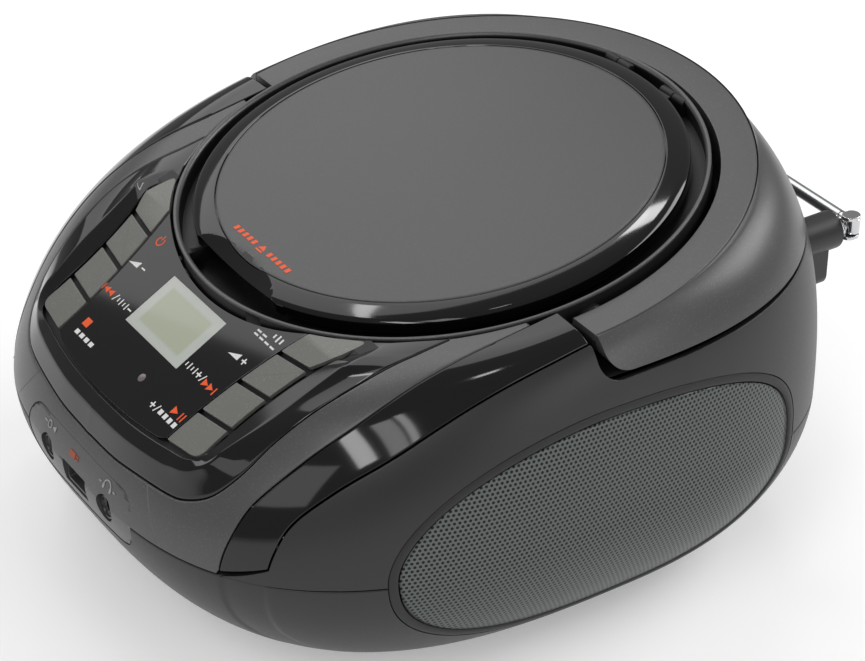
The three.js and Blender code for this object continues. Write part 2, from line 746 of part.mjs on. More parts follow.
// Upper cabinet: side panels, rear wall, trough floor under the handle and the antenna boss.
function upperCabinet() {
  const bands = SIDES.map(([, side]) => bandRegion(side, -FIT / 2, FIT / 2, -FIT, NOTCH_Y));
  const walls = cut(upperShell, coverRegion(FIT / 2, NOTCH_Y), ...bands, notch);
  const floorTop = (y) => gapHeight(y) - TROUGH_DEPTH;
  const wallY = NOTCH_Y - BODY_WALL;
  const slab = prismX([
    [wallY, floorTop(wallY) - BODY_WALL], [deep, floorTop(deep) - BODY_WALL],
    [deep, floorTop(deep)], [wallY, floorTop(wallY)],
  ], -wide, wide);
  const floor = common(slab, bodySolid(BODY_WALL / 2));
  const rib = prismX(rectangle(wallY, NOTCH_Y, floorTop(wallY) - BODY_WALL, TOP_Z), -wide, wide);
  const frontWall = common(rib, bodySolid(BODY_WALL + FIT));
  const boss = rodY(BOSS_RADIUS, rearY - OVERRUN, bossEndY, BOSS_X, bossZ);
  const lugOutline = roundedRectangle(
    BOSS_X, bossZ - LUG_HEIGHT / 2, LUG_WIDTH / 2, LUG_HEIGHT / 2, LUG_WIDTH / 2 - FIT,
  );
  const lug = prismY(lugOutline, rearY - OVERRUN, lugEndY);
  const shaftBore = rodY(SHAFT_RADIUS + FIT, lugEndY - FIT, deep, BOSS_X, bossZ, SMALL_STEPS);
  const rearRoom = cut(join(boss, lug), inner, shaftBore);
  return cut(join(walls, floor, frontWall, rearRoom), deckHole, ...grilleHoles);
}

addPart('upper_cabinet', upperCabinet(), 'matte');

// Charcoal front cover round the controls.
const coverEndY = NOTCH_Y - BODY_WALL - HANDLE_CORNER;
const cover = common(upperShell, coverRegion(-FIT / 2, coverEndY));
addPart('front_cover', cut(cover, deckHole, frameHole, jackPanelPrism(FIT)), 'charcoal');

// Gloss bands between the cover and the side panels.
for (const [tag, side] of SIDES) {
  const band = common(upperShell, bandRegion(side, FIT / 2, -FIT / 2, 0, NOTCH_Y - FIT));
  const coverTip = block(-RING_RADIUS, RING_RADIUS, coverEndY, deep, 0, TOP_Z);
  addPart(`gloss_band_${tag}`, cut(band, deckHole, common(coverTip, deckHole)), 'gloss');
}

// Control frame: an inner lip, a fold and an outer fall to the cover, swept round in a U.
function panelHeight(y) {
  return PANEL_Z + Math.tan(PANEL_TILT) * (y - PANEL_Y);
}

function surfaceHeight(x, y) {
  const angle = Math.atan2(y - BODY_CENTRE_Y, x);
  let low = 0;
  let high = 1;
  for (let i = 0; i < SEARCH_STEPS; i += 1) {
    const middle = (low + high) / 2;
    const p = crownPoint(angle, middle, 0);
    if (Math.hypot(p.x, p.y - BODY_CENTRE_Y) > Math.hypot(x, y - BODY_CENTRE_Y)) low = middle;
    else high = middle;
  }
  return crownPoint(angle, low, 0).z;
}

function ringHeight(y) {
  return deckHeight(y) - CROWN_DROP;
}

function controlFrame() {
  const rims = [mirrored(frameOuter), mirrored(frameFold), mirrored(frameInner)];
  const sections = rims[0].map(([ox, oy], i) => {
    const [fx, fy] = rims[1][i];
    const [ix, iy] = rims[2][i];
    const outerZ = surfaceHeight(ox, oy);
    const innerZ = Math.min(panelHeight(iy), ringHeight(iy));
    const foldZ = Math.min(panelHeight(fy), ringHeight(fy), (outerZ + innerZ) / 2 + FRAME_THICKNESS);
    return [
      new THREE.Vector3(ox, oy, outerZ),
      new THREE.Vector3(fx, fy, foldZ),
      new THREE.Vector3(ix, iy, innerZ),
      new THREE.Vector3(ix, iy, innerZ - FRAME_THICKNESS),
      new THREE.Vector3(fx, fy, foldZ - FRAME_THICKNESS),
      new THREE.Vector3(ox, oy, outerZ - FRAME_SKIRT),
    ];
  });
  return cut(loft(sections), deckHole);
}

const frame = controlFrame();
addPart('control_frame', frame, 'gloss');

// Key columns and the display lens between them, drawn on the panel plane. The columns stand
// beside the narrowest place of the frame.
const keyOuterX = FRAME_INNER_SHARES[FRAME_WAIST][0] * BODY_HALF_WIDTH - KEY_MARGIN;
const keyInnerX = keyOuterX - KEY_WIDTH;

function keyInner(v) {
  return keyInnerX + KEY_INNER_BOW * (v - KEY_LAST_V) ** 2;
}

function keyOuter(v) {
  return keyOuterX + KEY_OUTER_BOW * (v - KEY_OUTER_WAIST) ** 2;
}

const toPanel = panelFrame.clone().invert();
const deckHoleOnPanel = moved(deckPlug(RING_RADIUS + LENS_RING_GAP), toPanel);
const ringPlane = new THREE.Matrix4().multiplyMatrices(toPanel, deckFrame);
const overRing = moved(
  block(-wide, wide, -deep, deep, -CROWN_DROP + KEY_PROUD, OVERRUN), ringPlane,
);

function keyOutline(row) {
  const rowTop = KEY_FIRST_V - KEY_GAP - (row - 1) * KEY_PITCH;
  const top = row ? rowTop : KEY_TOP_V;
  const foot = row ? Math.max(rowTop - KEY_PITCH + KEY_GAP, KEY_LAST_V) : KEY_FIRST_V;
  const slanted = (v) => v + KEY_SLANT * (keyOuter(v) - keyInner(v));
  const corner = row === KEY_ROWS - 1 ? KEY_CORNER : 0;
  const low = slanted(foot);
  const inside = [];
  const outside = [];
  const rounding = [];
  for (let i = 0; i <= KEY_STEPS; i += 1) {
    const share = i / KEY_STEPS;
    const v = foot + (top - foot) * share;
    const outerV = low + corner + (slanted(top) - low - corner) * share;
    inside.push([keyInner(v), v]);
    outside.unshift([keyOuter(outerV), outerV]);
    if (corner && i) {
      const angle = share * QUARTER_TURN;
      const across = keyOuter(low + corner) - corner * (1 - Math.cos(angle));
      rounding.push([across, low + corner * (1 - Math.sin(angle))]);
    }
  }
  return [...inside, ...outside, ...rounding];
}

const keyStemX = (keyInnerX + keyOuterX) / 2;

function keyStemPlace(row) {
  const rowTop = KEY_FIRST_V - KEY_GAP - (row - 1) * KEY_PITCH;
  const middle = row ? rowTop - (KEY_PITCH - KEY_GAP) / 2 : KEY_FIRST_V + KEY_PITCH / 3;
  return [keyStemX + KEY_OUTER_BOW * (middle - KEY_OUTER_WAIST) ** 2, middle + KEY_GAP];
}

function stemBlock(side, row, grow, w0, w1) {
  const [x, v] = keyStemPlace(row);
  const half = KEY_STEM / 2 + grow;
  return block(side * x - half, side * x + half, v - half, v + half, w0, w1);
}

const capFoot = KEY_PROUD - KEY_CAP;
for (const [tag, side] of SIDES) {
  for (let row = 0; row < KEY_ROWS; row += 1) {
    const outline = keyOutline(row).map(([x, v]) => [side * x, v]);
    const cap = cut(prismZ(outline, capFoot, KEY_PROUD), deckHoleOnPanel, overRing);
    const stem = stemBlock(side, row, 0, capFoot - KEY_STEM_LENGTH, capFoot + KEY_CAP / 2);
    addPart(`key_${tag}${row + 1}`, join(cap, stem), 'key', panelGroup);
  }
}

function lensOutline(grow) {
  const steps = SMALL_STEPS;
  const right = [];
  for (let i = 0; i <= steps; i += 1) {
    const v = KEY_LAST_V + ((KEY_TOP_V - KEY_LAST_V) * i) / steps;
    right.push([keyInner(v) - KEY_EDGE - FIT + grow, v]);
  }
  const left = right.map(([x, v]) => [-x, v]).reverse();
  const foot = [];
  for (let i = 1; i < steps; i += 1) {
    const share = -1 + (2 * i) / steps;
    const x = right[0][0] * share;
    foot.push([x, -LENS_FOOT - grow + LENS_BOW * share * share]);
  }
  return [...right, ...left, ...foot];
}

const lcdOutline = rectangle(-LCD_HALF_WIDTH, LCD_HALF_WIDTH, LCD_TOP - LCD_HEIGHT, LCD_TOP);
const baseTop = -LENS_THICKNESS - FIT;
const lens = cut(prismZ(lensOutline(0), -LENS_THICKNESS, 0), deckHoleOnPanel);
addPart('display_lens', lens, 'lens', panelGroup);

function panelBase() {
  const outline = mirrored(frameInner);
  const flat = widened(outline, BASE_MARGIN);
  const footing = moved(prismZ(flat, -OVERRUN, TOP_Z), toPanel);
  const plate = block(-wide, wide, -deep, deep, baseTop - BASE_THICKNESS, baseTop);
  const lcdWell = prismZ(lcdOutline, -OVERRUN, OVERRUN);
  const irWell = shifted(cylinder(IR_RADIUS + FIT, -OVERRUN, OVERRUN, SMALL_STEPS), IR_X, IR_V, 0);
  const stems = SIDES.flatMap(([, side]) => Array.from({ length: KEY_ROWS }, (_, row) => (
    stemBlock(side, row, FIT, -OVERRUN, OVERRUN)
  )));
  const frames = [frame, shifted(frame, 0, 0, -FIT)].map((body) => moved(body, toPanel));
  return cut(common(plate, footing), ...frames, deckHoleOnPanel, overRing, lcdWell, irWell, ...stems);
}

addPart('panel_base', panelBase(), 'matte', panelGroup);

const lcdPlate = rectangle(
  FIT - LCD_HALF_WIDTH, LCD_HALF_WIDTH - FIT, LCD_TOP - LCD_HEIGHT + FIT, LCD_TOP - FIT,
);
addPart('lcd_panel', prismZ(lcdPlate, baseTop - LCD_THICKNESS, baseTop), 'lcd', panelGroup);
const infrared = cylinder(IR_RADIUS, baseTop - BASE_THICKNESS, baseTop, SMALL_STEPS);
addPart('ir_window', shifted(infrared, IR_X, IR_V, 0), 'infrared', panelGroup);

const boardTop = -BOARD_DROP;
const boardHalf = keyOuterX - KEY_STEM;
const controlBoard = block(
  -boardHalf, boardHalf, KEY_LAST_V, KEY_FIRST_V + KEY_PITCH / 2, boardTop - BOARD_THICKNESS, boardTop,
);
addPart('control_board', cut(controlBoard, deckHoleOnPanel), 'board', panelGroup);

// Socket panel with the two jacks and the USB socket.
const panelSkin = common(shell, jackPanelPrism(0));
const wellReach = [frontY - OVERRUN, frontY + OVERRUN];
const jackWells = SIDES.map(([, side]) => rodY(JACK_RADIUS + FIT, ...wellReach, side * JACK_X, jackZ));
const usbOutline = rectangle(-USB_WIDTH / 2, USB_WIDTH / 2, usbZ - USB_HEIGHT / 2, usbZ + USB_HEIGHT / 2);
const usbWell = prismY(usbOutline, ...wellReach);
addPart('jack_panel', cut(panelSkin, ...jackWells, usbWell), 'charcoal');

function jack(side) {
  const x = side * JACK_X;
  const faceY = frontY + JACK_RECESS;
  const barrel = rodY(JACK_RADIUS, faceY, faceY + JACK_LENGTH, x, jackZ);
  const bore = rodY(JACK_BORE, faceY - OVERRUN, faceY + JACK_LENGTH - JACK_RECESS, x, jackZ, ROUND_STEPS);
  return cut(barrel, bore);
}

addPart('aux_jack', jack(-1), 'rubber');
addPart('phones_jack', jack(1), 'rubber');

function usbSocket() {
  const faceY = frontY + JACK_RECESS;
  const half = [USB_WIDTH / 2 - FIT, USB_HEIGHT / 2 - FIT];
  const frame = rectangle(-half[0], half[0], usbZ - half[1], usbZ + half[1]);
  const hollow = rectangle(
    USB_WALL - half[0], half[0] - USB_WALL, usbZ - half[1] + USB_WALL, usbZ + half[1] - USB_WALL,
  );
  const backY = faceY + USB_LENGTH;
  const can = cut(prismY(frame, faceY, backY), prismY(hollow, faceY - OVERRUN, backY - USB_WALL));
  const tongueTop = usbZ + half[1] - 2 * USB_WALL;
  const tongue = rectangle(
    2 * USB_WALL - half[0], half[0] - 2 * USB_WALL, tongueTop - USB_TONGUE, tongueTop,
  );
  return join(can, prismY(tongue, faceY + USB_TONGUE, backY));
}

addPart('usb_socket', usbSocket(), 'metal');

// Speakers: perforated sheet, flush frame with its baffle, and the driver behind.
for (const [tag, side] of SIDES) {
  const ring = common(outer, grillePrism(side, BEZEL_WIDTH, baffleX));
  const seat = cut(grillePrism(side, 0, baffleX), bodySolid(GRILLE_RECESS + GRILLE_SHEET + FIT));
  const hollow = grillePrism(side, -GRILLE_LEDGE, baffleX + BAFFLE_THICKNESS);
  const mouth = side > 0
    ? rodX(SPEAKER_CONE_RADIUS, 0, wide, GRILLE_Y, grilleZ, HUB_STEPS)
    : rodX(SPEAKER_CONE_RADIUS, -wide, 0, GRILLE_Y, grilleZ, HUB_STEPS);
  addPart(`grille_frame_${tag}`, cut(ring, seat, hollow, mouth), 'matte');
}

for (const [tag, side] of SIDES) {
  const sheet = cut(bodySolid(GRILLE_RECESS), bodySolid(GRILLE_RECESS + GRILLE_SHEET));
  addPart(`grille_${tag}`, common(sheet, grillePrism(side, -FIT, baffleX)), 'grille');
}

function speaker(side) {
  const frontX = baffleX - FIT;
  const coneX = frontX - SPEAKER_CONE_DEPTH;
  const backX = coneX - SPEAKER_FLANGE - SPEAKER_MAGNET_DEPTH;
  const profile = [
    [0, backX], [SPEAKER_MAGNET_RADIUS, backX], [SPEAKER_MAGNET_RADIUS, coneX - SPEAKER_FLANGE],
    [SPEAKER_CONE_RADIUS, frontX - SPEAKER_FLANGE], [SPEAKER_RADIUS, frontX - SPEAKER_FLANGE],
    [SPEAKER_RADIUS, frontX], [SPEAKER_CONE_RADIUS, frontX], [SPEAKER_DUST_CAP, coneX],
    [0, coneX + SPEAKER_FLANGE],
  ];
  const matrix = new THREE.Matrix4().makeBasis(
    axisY.clone().multiplyScalar(side), axisZ, axisX.clone().multiplyScalar(side),
  );
  return moved(turned(profile, HUB_STEPS), matrix.setPosition(0, GRILLE_Y, grilleZ));
}

addPart('speaker_l', speaker(-1), 'cone');
addPart('speaker_r', speaker(1), 'cone');

// Deck: the ring round the lid, the finger gap, the disc well and its skirt.
const hingeV = LID_RADIUS + HINGE_SETBACK;
const hingePin = (radius, x0, x1) => rodX(radius, x0, x1, hingeV, -HINGE_DROP, SMALL_STEPS);
const hingeEnd = HINGE_X + 2 * HINGE_WIDTH;
const hingeBore = hingePin(HINGE_PIN_RADIUS + FIT / 2, -hingeEnd, hingeEnd);
const ringInner = LID_RADIUS + LID_GAP;
const pivotZ = DECK_Z - HANDLE_PIVOT_DROP;
const toDeck = deckFrame.clone().invert();
const bossEnd = HANDLE_INNER_RADIUS - HANDLE_BOSS_GAP;
const sledEnd = WELL_RADIUS - SLED_MARGIN;

function hingeSpan(side, from, to) {
  return side > 0 ? [from, to] : [-to, -from];
}

function deck() {
  const profile = [
    [0, -WELL_DEPTH], [WELL_RADIUS, -WELL_DEPTH], [WELL_RADIUS, -GAP_DEPTH], [ringInner, -GAP_DEPTH],
    [ringInner, -RING_DROP], [RING_RADIUS, -RING_DROP], [RING_RADIUS, -DECK_SKIRT],
    [ringInner, -DECK_SKIRT], [ringInner, -GAP_DEPTH - DECK_FLOOR],
    [WELL_RADIUS + DECK_FLOOR, -GAP_DEPTH - DECK_FLOOR],
    [WELL_RADIUS + DECK_FLOOR, -WELL_DEPTH - DECK_FLOOR], [0, -WELL_DEPTH - DECK_FLOOR],
  ];
  const midWall = cylinder(ringInner + RING_WALL / 2, -OVERRUN, OVERRUN, BODY_STATIONS);
  const inside = cylinder(ringInner - FIT, -OVERRUN, OVERRUN, BODY_STATIONS);
  const pocket = (limit, grow, top) => common(limit, block(
    -FINGER_HALF_WIDTH - grow, FINGER_HALF_WIDTH + grow,
    -RING_RADIUS, -WELL_RADIUS - FINGER_SETBACK + grow, -GAP_DEPTH - FINGER_DEPTH - grow, top,
  ));
  const bosses = moved(
    rodX(HANDLE_BOSS_RADIUS, -bossEnd, bossEnd, HANDLE_PIVOT_Y, pivotZ, ROUND_STEPS), toDeck,
  );
  const pocketWall = pocket(midWall, DECK_FLOOR, -GAP_DEPTH - FIT);
  const tub = join(turned(profile, BODY_STATIONS), pocketWall, cut(bosses, midWall));
  const rooms = SIDES.map(([, side]) => (
    hingePin(HINGE_RADIUS + FIT, ...hingeSpan(side, HINGE_X - FIT, HINGE_X + HINGE_WIDTH + FIT))
  ));
  const ears = SIDES.map(([, side]) => {
    const span = hingeSpan(side, HINGE_X + HINGE_WIDTH + FIT, hingeEnd);
    const stand = block(
      ...span, hingeV - HINGE_RADIUS, hingeV + HINGE_RADIUS, -GAP_DEPTH - FIT, -HINGE_DROP,
    );
    return join(stand, hingePin(HINGE_RADIUS, ...span));
  });
  const half = SLED_SLOT_WIDTH / 2;
  const slot = block(-half, half, -sledEnd, 0, -OVERRUN, 0);
  const hole = cylinder(SPINDLE_HOLE, -OVERRUN, 0, HUB_STEPS);
  const bores = moved(rodX(HANDLE_PIN_RADIUS + FIT, -wide, wide, HANDLE_PIVOT_Y, pivotZ), toDeck);
  const underPanel = block(-wide, wide, -deep, -WELL_RADIUS / 2, -OVERRUN, -WELL_DEPTH - DECK_FLOOR);
  const open = cut(tub, ...rooms, pocket(inside, 0, OVERRUN), slot, hole, cut(bores, inside), underPanel);
  return cut(join(open, ...ears), hingeBore);
}

addPart('deck', deck(), 'charcoal', deckGroup);

// Lid rim with its hinge ears and finger notch, and the disc inlaid in it.
const lidFlatRadius = LID_RADIUS - LID_BORDER;

function notchTool() {
  const chordV = NOTCH_CUT - LID_RADIUS;
  const chord = block(-OVERRUN, OVERRUN, -LID_RADIUS - OVERRUN, chordV, -OVERRUN, OVERRUN);
  const steps = SMALL_STEPS;
  const scoop = [[NOTCH_HALF_WIDTH, OVERRUN], [-NOTCH_HALF_WIDTH, OVERRUN]];
  for (let i = 0; i <= steps; i += 1) {
    const share = -1 + (2 * i) / steps;
    scoop.push([share * NOTCH_HALF_WIDTH, NOTCH_SAG * share * share]);
  }
  const fall = Math.atan2(LID_FLAT + NOTCH_LOW, NOTCH_RUN);
  const tilt = new THREE.Matrix4().makeRotationX(fall).setPosition(0, chordV, -NOTCH_LOW);
  const hollow = prismY(scoop, -OVERRUN, OVERRUN);
  return [chord, moved(hollow, tilt)];
}

function lidRim() {
  const seat = LID_FLAT - LID_INLAY - FIT;
  const profile = [
    [0, seat], [lidFlatRadius, seat], [lidFlatRadius, LID_FLAT],
    [LID_RADIUS - LID_EDGE, LID_EDGE / 2], [LID_RADIUS, -LID_EDGE / 2], [LID_RADIUS, -LID_SKIRT],
    [LID_RADIUS - LID_WALL, -LID_SKIRT], [LID_RADIUS - LID_WALL, seat - LID_WALL], [0, seat - LID_WALL],
  ];
  const body = turned(profile, LID_STEPS);
  const ears = SIDES.map(([, side]) => {
    const span = hingeSpan(side, HINGE_X, HINGE_X + HINGE_WIDTH);
    const armTop = HINGE_RADIUS / 2 - HINGE_DROP;
    const arm = block(...span, LID_RADIUS - 2 * LID_WALL, hingeV, -LID_SKIRT, armTop);
    return join(arm, hingePin(HINGE_RADIUS, ...span));
  });
  return cut(join(body, ...ears), ...notchTool(), hingeBore);
}

addPart('lid_rim', lidRim(), 'gloss', deckGroup);

function lidTop() {
  const radius = lidFlatRadius - FIT;
  const steps = CORNER_STEPS;
  const profile = [[0, LID_FLAT - LID_INLAY]];
  profile.push([radius, LID_FLAT - LID_INLAY]);
  for (let i = steps; i >= 0; i -= 1) {
    const share = i / steps;
    profile.push([radius * share, LID_CROWN - (LID_CROWN - LID_FLAT) * share * share]);
  }
  return cut(turned(profile, LID_STEPS), ...notchTool());
}

addPart('lid_top', lidTop(), 'charcoal', deckGroup);
for (const [tag, side] of SIDES) {
  const pin = hingePin(HINGE_PIN_RADIUS, ...hingeSpan(side, HINGE_X + FIT, hingeEnd - FIT));
  addPart(`lid_pin_${tag}`, pin, 'metal', deckGroup);
}

// Disc drive: chassis with its motor, spindle with three balls, laser sled on two rods.
const chassisTop = -WELL_DEPTH - DECK_FLOOR - CHASSIS_DROP;
const rodW = -WELL_DEPTH - DECK_FLOOR - CHASSIS_DROP / 2;
const rodFar = -sledEnd - SADDLE_LENGTH;
const rodNear = SADDLE_LENGTH - SLED_START;

function chassis() {
  const frontV = -WELL_RADIUS - CHASSIS_FRONT_MARGIN;
  const middleV = (CHASSIS_REAR + frontV) / 2;
  const halfLength = (CHASSIS_REAR - frontV) / 2;
  const plate = roundedRectangle(0, middleV, SLED_WIDTH, halfLength, ROD_SPACING);
  const sheet = prismZ(plate, chassisTop - CHASSIS_THICKNESS, chassisTop);
  const motor = cylinder(MOTOR_RADIUS, chassisTop - FIT, chassisTop + MOTOR_HEIGHT);
  const stand = cylinder(POST_RADIUS, chassisTop - FIT, -WELL_DEPTH - DECK_FLOOR - FIT, SMALL_STEPS);
  const standRows = [CHASSIS_POST_REAR, CHASSIS_POST_MARGIN - WELL_RADIUS];
  const stands = SIDES.flatMap(([, side]) => (
    standRows.map((v) => shifted(stand, side * CHASSIS_POST_X, v, 0))
  ));
  const reach = 2 * ROD_RADIUS;
  const saddles = SIDES.flatMap(([, side]) => [rodFar, rodNear - SADDLE_LENGTH].map((v) => block(
    side * ROD_SPACING - reach, side * ROD_SPACING + reach, v + FIT, v + SADDLE_LENGTH - FIT,
    chassisTop - FIT, rodW + reach,
  )));
  const bores = SIDES.map(([, side]) => (
    rodY(ROD_RADIUS + FIT / 2, rodFar - OVERRUN, rodNear + FIT, side * ROD_SPACING, rodW, SMALL_STEPS)
  ));
  return cut(join(sheet, motor, ...stands, ...saddles), ...bores);
}

addPart('cd_chassis', chassis(), 'metal', deckGroup);
for (const [tag, side] of SIDES) {
  const rod = rodY(ROD_RADIUS, rodFar, rodNear, side * ROD_SPACING, rodW, SMALL_STEPS);
  addPart(`guide_rod_${tag}`, rod, 'metal', deckGroup);
}

function spindle() {
  const foot = chassisTop + MOTOR_HEIGHT + FIT;
  const table = -WELL_DEPTH + DISC_HEIGHT;
  const under = table - SPINDLE_TABLE;
  const ballW = table + DISC_THICKNESS + SPINDLE_BALL;
  const top = ballW + SPINDLE_BALL;
  const profile = [
    [0, foot], [SPINDLE_SHAFT, foot], [SPINDLE_SHAFT, under], [SPINDLE_RADIUS, under],
    [SPINDLE_RADIUS, table], [SPINDLE_HUB, table], [SPINDLE_HUB, ballW], [SPINDLE_HUB / 2, top],
    [0, top],
  ];
  const balls = Array.from({ length: SPINDLE_BALLS }, (_, i) => {
    const angle = (i * 2 * HALF_TURN) / SPINDLE_BALLS;
    const ball = solid(new THREE.SphereGeometry(SPINDLE_BALL, SMALL_STEPS, CORNER_STEPS));
    const reach = SPINDLE_HUB - SPINDLE_BALL / 2;
    return shifted(ball, reach * Math.cos(angle), reach * Math.sin(angle), ballW);
  });
  return join(turned(profile, HUB_STEPS), ...balls);
}

addPart('cd_spindle', spindle(), 'matte', deckGroup);

function laserSled() {
  const start = -SLED_START;
  const reach = 2 * ROD_RADIUS;
  const halfWidth = SLED_WIDTH / 2;
  const body = block(-halfWidth, halfWidth, start - SLED_LENGTH, start, rodW - reach, rodW + reach);
  const half = SLED_SLOT_WIDTH / 2 - DECK_FLOOR;
  const top = -WELL_DEPTH - FIT;
  const neck = block(-half, half, start - SLED_LENGTH + FIT, start - FIT, rodW, top);
  const lens = cylinder(LASER_LENS, top - FIT, top + LASER_LENS / 2);
  const eye = shifted(lens, 0, start - SLED_LENGTH / 2, 0);
  const bores = SIDES.map(([, side]) => (
    rodY(ROD_RADIUS + FIT, -deep, deep, side * ROD_SPACING, rodW, SMALL_STEPS)
  ));
  return cut(join(body, neck, eye), ...bores);
}

addPart('laser_sled', laserSled(), 'matte', deckGroup);

// Handle: a flat inner strip and a rounded outer shell that share a seam.
const handleTop = moved(
  block(-wide, wide, -deep, deep, -OVERRUN, -HANDLE_DROP), deckFrame,
);
const handleSide = prismX(notchOutline(HANDLE_END_Y, HANDLE_CORNER, HANDLE_SEAT_GAP), -wide, wide);

function deckRing(inside, outside) {
  const blank = cylinder(outside, -OVERRUN, OVERRUN, BODY_STATIONS);
  const bore = cylinder(inside, -OVERRUN - FIT, OVERRUN + FIT, BODY_STATIONS);
  return moved(cut(blank, bore), deckFrame);
}

const handleBlank = common(outer, handleTop, handleSide);
const stripRing = deckRing(HANDLE_INNER_RADIUS, HANDLE_SEAM_RADIUS - FIT / 2);
const shellRing = deckRing(HANDLE_SEAM_RADIUS + FIT / 2, wide);
const pinReach = HANDLE_SEAM_RADIUS - HANDLE_WALL;
const pinBores = rodX(HANDLE_PIN_RADIUS + FIT, -pinReach, pinReach, HANDLE_PIVOT_Y, pivotZ);
addPart('handle_strip', cut(common(handleBlank, stripRing), pinBores), 'charcoal');
addPart('handle_shell', common(handleBlank, shellRing), 'charcoal');

for (const [tag, side] of SIDES) {
  const x0 = side * (ringInner + FIT);
  const x1 = side * (HANDLE_INNER_RADIUS + HANDLE_PIN_DEPTH);
  const pin = rodX(HANDLE_PIN_RADIUS, Math.min(x0, x1), Math.max(x0, x1), HANDLE_PIVOT_Y, pivotZ);
  addPart(`handle_pin_${tag}`, pin, 'metal');
}

// Battery box, its door, and the feet.
const batteryTop = floorZ + BATTERY_HEIGHT;
const boxBlank = prismZ(batteryOutline(BATTERY_WALL + FIT), floorZ + FIT, batteryTop);
const boxRoom = prismZ(batteryOutline(0), -OVERRUN, batteryTop - BATTERY_WALL);
addPart('battery_case', cut(boxBlank, boxRoom), 'matte');
const doorTop = FOOT_HEIGHT + DOOR_THICKNESS - 2 * FIT;
addPart('battery_door', prismZ(batteryOutline(DOOR_LEDGE), FOOT_HEIGHT, doorTop), 'matte');
for (const [name, x, y] of footPlaces) {
  addPart(name, shifted(cylinder(FOOT_RADIUS, 0, FOOT_HEIGHT + FOOT_SINK), x, y, 0), 'rubber');
}

// Mains inlet with its two pins, transformer and main board.
function mainsInlet() {
  const backY = rearY - INLET_LENGTH - BODY_WALL;
  const body = common(outer, inletPrism(0), block(-wide, 0, backY, deep, 0, TOP_Z));
  const floorY = rearY - INLET_DEPTH;
  const [leftX, rightX] = [INLET_X - INLET_PIN_PITCH / 2, INLET_X + INLET_PIN_PITCH / 2];
  const sockets = [leftX, rightX].map((x) => rodY(INLET_SOCKET_RADIUS, floorY, deep, x, inletZ));
  const waistOutline = rectangle(leftX, rightX, inletZ - INLET_WAIST, inletZ + INLET_WAIST);
  const waist = prismY(waistOutline, floorY, deep);
  const pinEnd = rearY - 2 * BODY_WALL;
  const pins = [leftX, rightX].map((x) => (
    rodY(INLET_PIN_RADIUS, floorY - BODY_WALL, pinEnd, x, inletZ, SMALL_STEPS)
  ));
  return join(cut(body, ...sockets, waist), ...pins);
}

addPart('mains_inlet', mainsInlet(), 'matte');
const core = block(
  TRANSFORMER_X - CORE_WIDTH / 2, TRANSFORMER_X + CORE_WIDTH / 2,
  transformerY - CORE_DEPTH / 2, transformerY + CORE_DEPTH / 2, TRANSFORMER_Z, TRANSFORMER_Z + CORE_HEIGHT,
);
const coil = block(
  TRANSFORMER_X - COIL_WIDTH / 2, TRANSFORMER_X + COIL_WIDTH / 2,
  transformerY - COIL_DEPTH / 2, transformerY + COIL_DEPTH / 2,
  TRANSFORMER_Z + POST_RADIUS, TRANSFORMER_Z + CORE_HEIGHT - POST_RADIUS,
);
addPart('transformer', join(core, coil), 'metal');
const mainBoard = block(
  -MAIN_BOARD_HALF_WIDTH - 2 * POST_RADIUS, MAIN_BOARD_HALF_WIDTH + 2 * POST_RADIUS,
  MAIN_BOARD_Y - MAIN_BOARD_HALF_DEPTH, MAIN_BOARD_Y + MAIN_BOARD_HALF_DEPTH,
  MAIN_BOARD_Z, MAIN_BOARD_Z + BOARD_THICKNESS,
);
addPart('main_board', mainBoard, 'board');

// Antenna: a swivel in the boss, a knuckle in its fork, and four nested sections that slide out.
const rodY0 = bossEndY + ROD_REACH;
const rodZ = bossZ + ROD_RISE;
const knuckleX = BOSS_X + KNUCKLE_REACH;

function antennaSwivel() {
  const faceY = bossEndY + FIT;
  const disc = rodY(SWIVEL_RADIUS, faceY, faceY + SWIVEL_THICKNESS, BOSS_X, bossZ);
  const shaft = rodY(SHAFT_RADIUS, lugEndY, faceY + FIT, BOSS_X, bossZ, SMALL_STEPS);
  const cheekTop = KNUCKLE_RADIUS + FIT + SWIVEL_THICKNESS;
  const cheeks = block(
    knuckleX - KNUCKLE_RADIUS, knuckleX + KNUCKLE_RADIUS, faceY, rodY0 + SHAFT_RADIUS,
    rodZ - cheekTop, rodZ + cheekTop,
  );
  const room = block(
    knuckleX - 2 * KNUCKLE_RADIUS, knuckleX + 2 * KNUCKLE_RADIUS, faceY + SWIVEL_THICKNESS - FIT, deep,
    rodZ - KNUCKLE_RADIUS - FIT, rodZ + KNUCKLE_RADIUS + FIT,
  );
  return join(cut(join(disc, cheeks), room), shaft);
}

addPart('antenna_swivel', antennaSwivel(), 'metal');
const tubeX = knuckleX - KNUCKLE_RADIUS - COLLAR_LENGTH;
const barrelRadius = KNUCKLE_RADIUS - FIT;
const barrel = shifted(cylinder(barrelRadius, -KNUCKLE_RADIUS, KNUCKLE_RADIUS), knuckleX, rodY0, rodZ);
const collar = rodX(barrelRadius, tubeX + FIT, knuckleX, rodY0, rodZ);
addPart('antenna_knuckle', join(barrel, collar), 'metal');
SECTION_RADII.forEach((radius, i) => {
  const farX = tubeX - SECTION_LENGTH - i * SECTION_PROUD;
  const nearX = tubeX - i * SECTION_STEP;
  const tube = rodX(radius, farX, nearX, rodY0, rodZ, SMALL_STEPS);
  const bore = SECTION_BORES[i];
  const tip = rodX(TIP_RADIUS, farX - TIP_LENGTH, farX + FIT, rodY0, rodZ, SMALL_STEPS);
  const body = bore
    ? cut(tube, rodX(bore, farX - FIT, nearX - SECTION_STEP + FIT, rodY0, rodZ, SMALL_STEPS))
    : join(tube, tip);
  addPart(`antenna_section_${i + 1}`, body, 'metal');
});

// The origin is under the middle of the length from the front to the antenna.
boombox.position.y = -(frontY + rodY0 + barrelRadius) / 2;

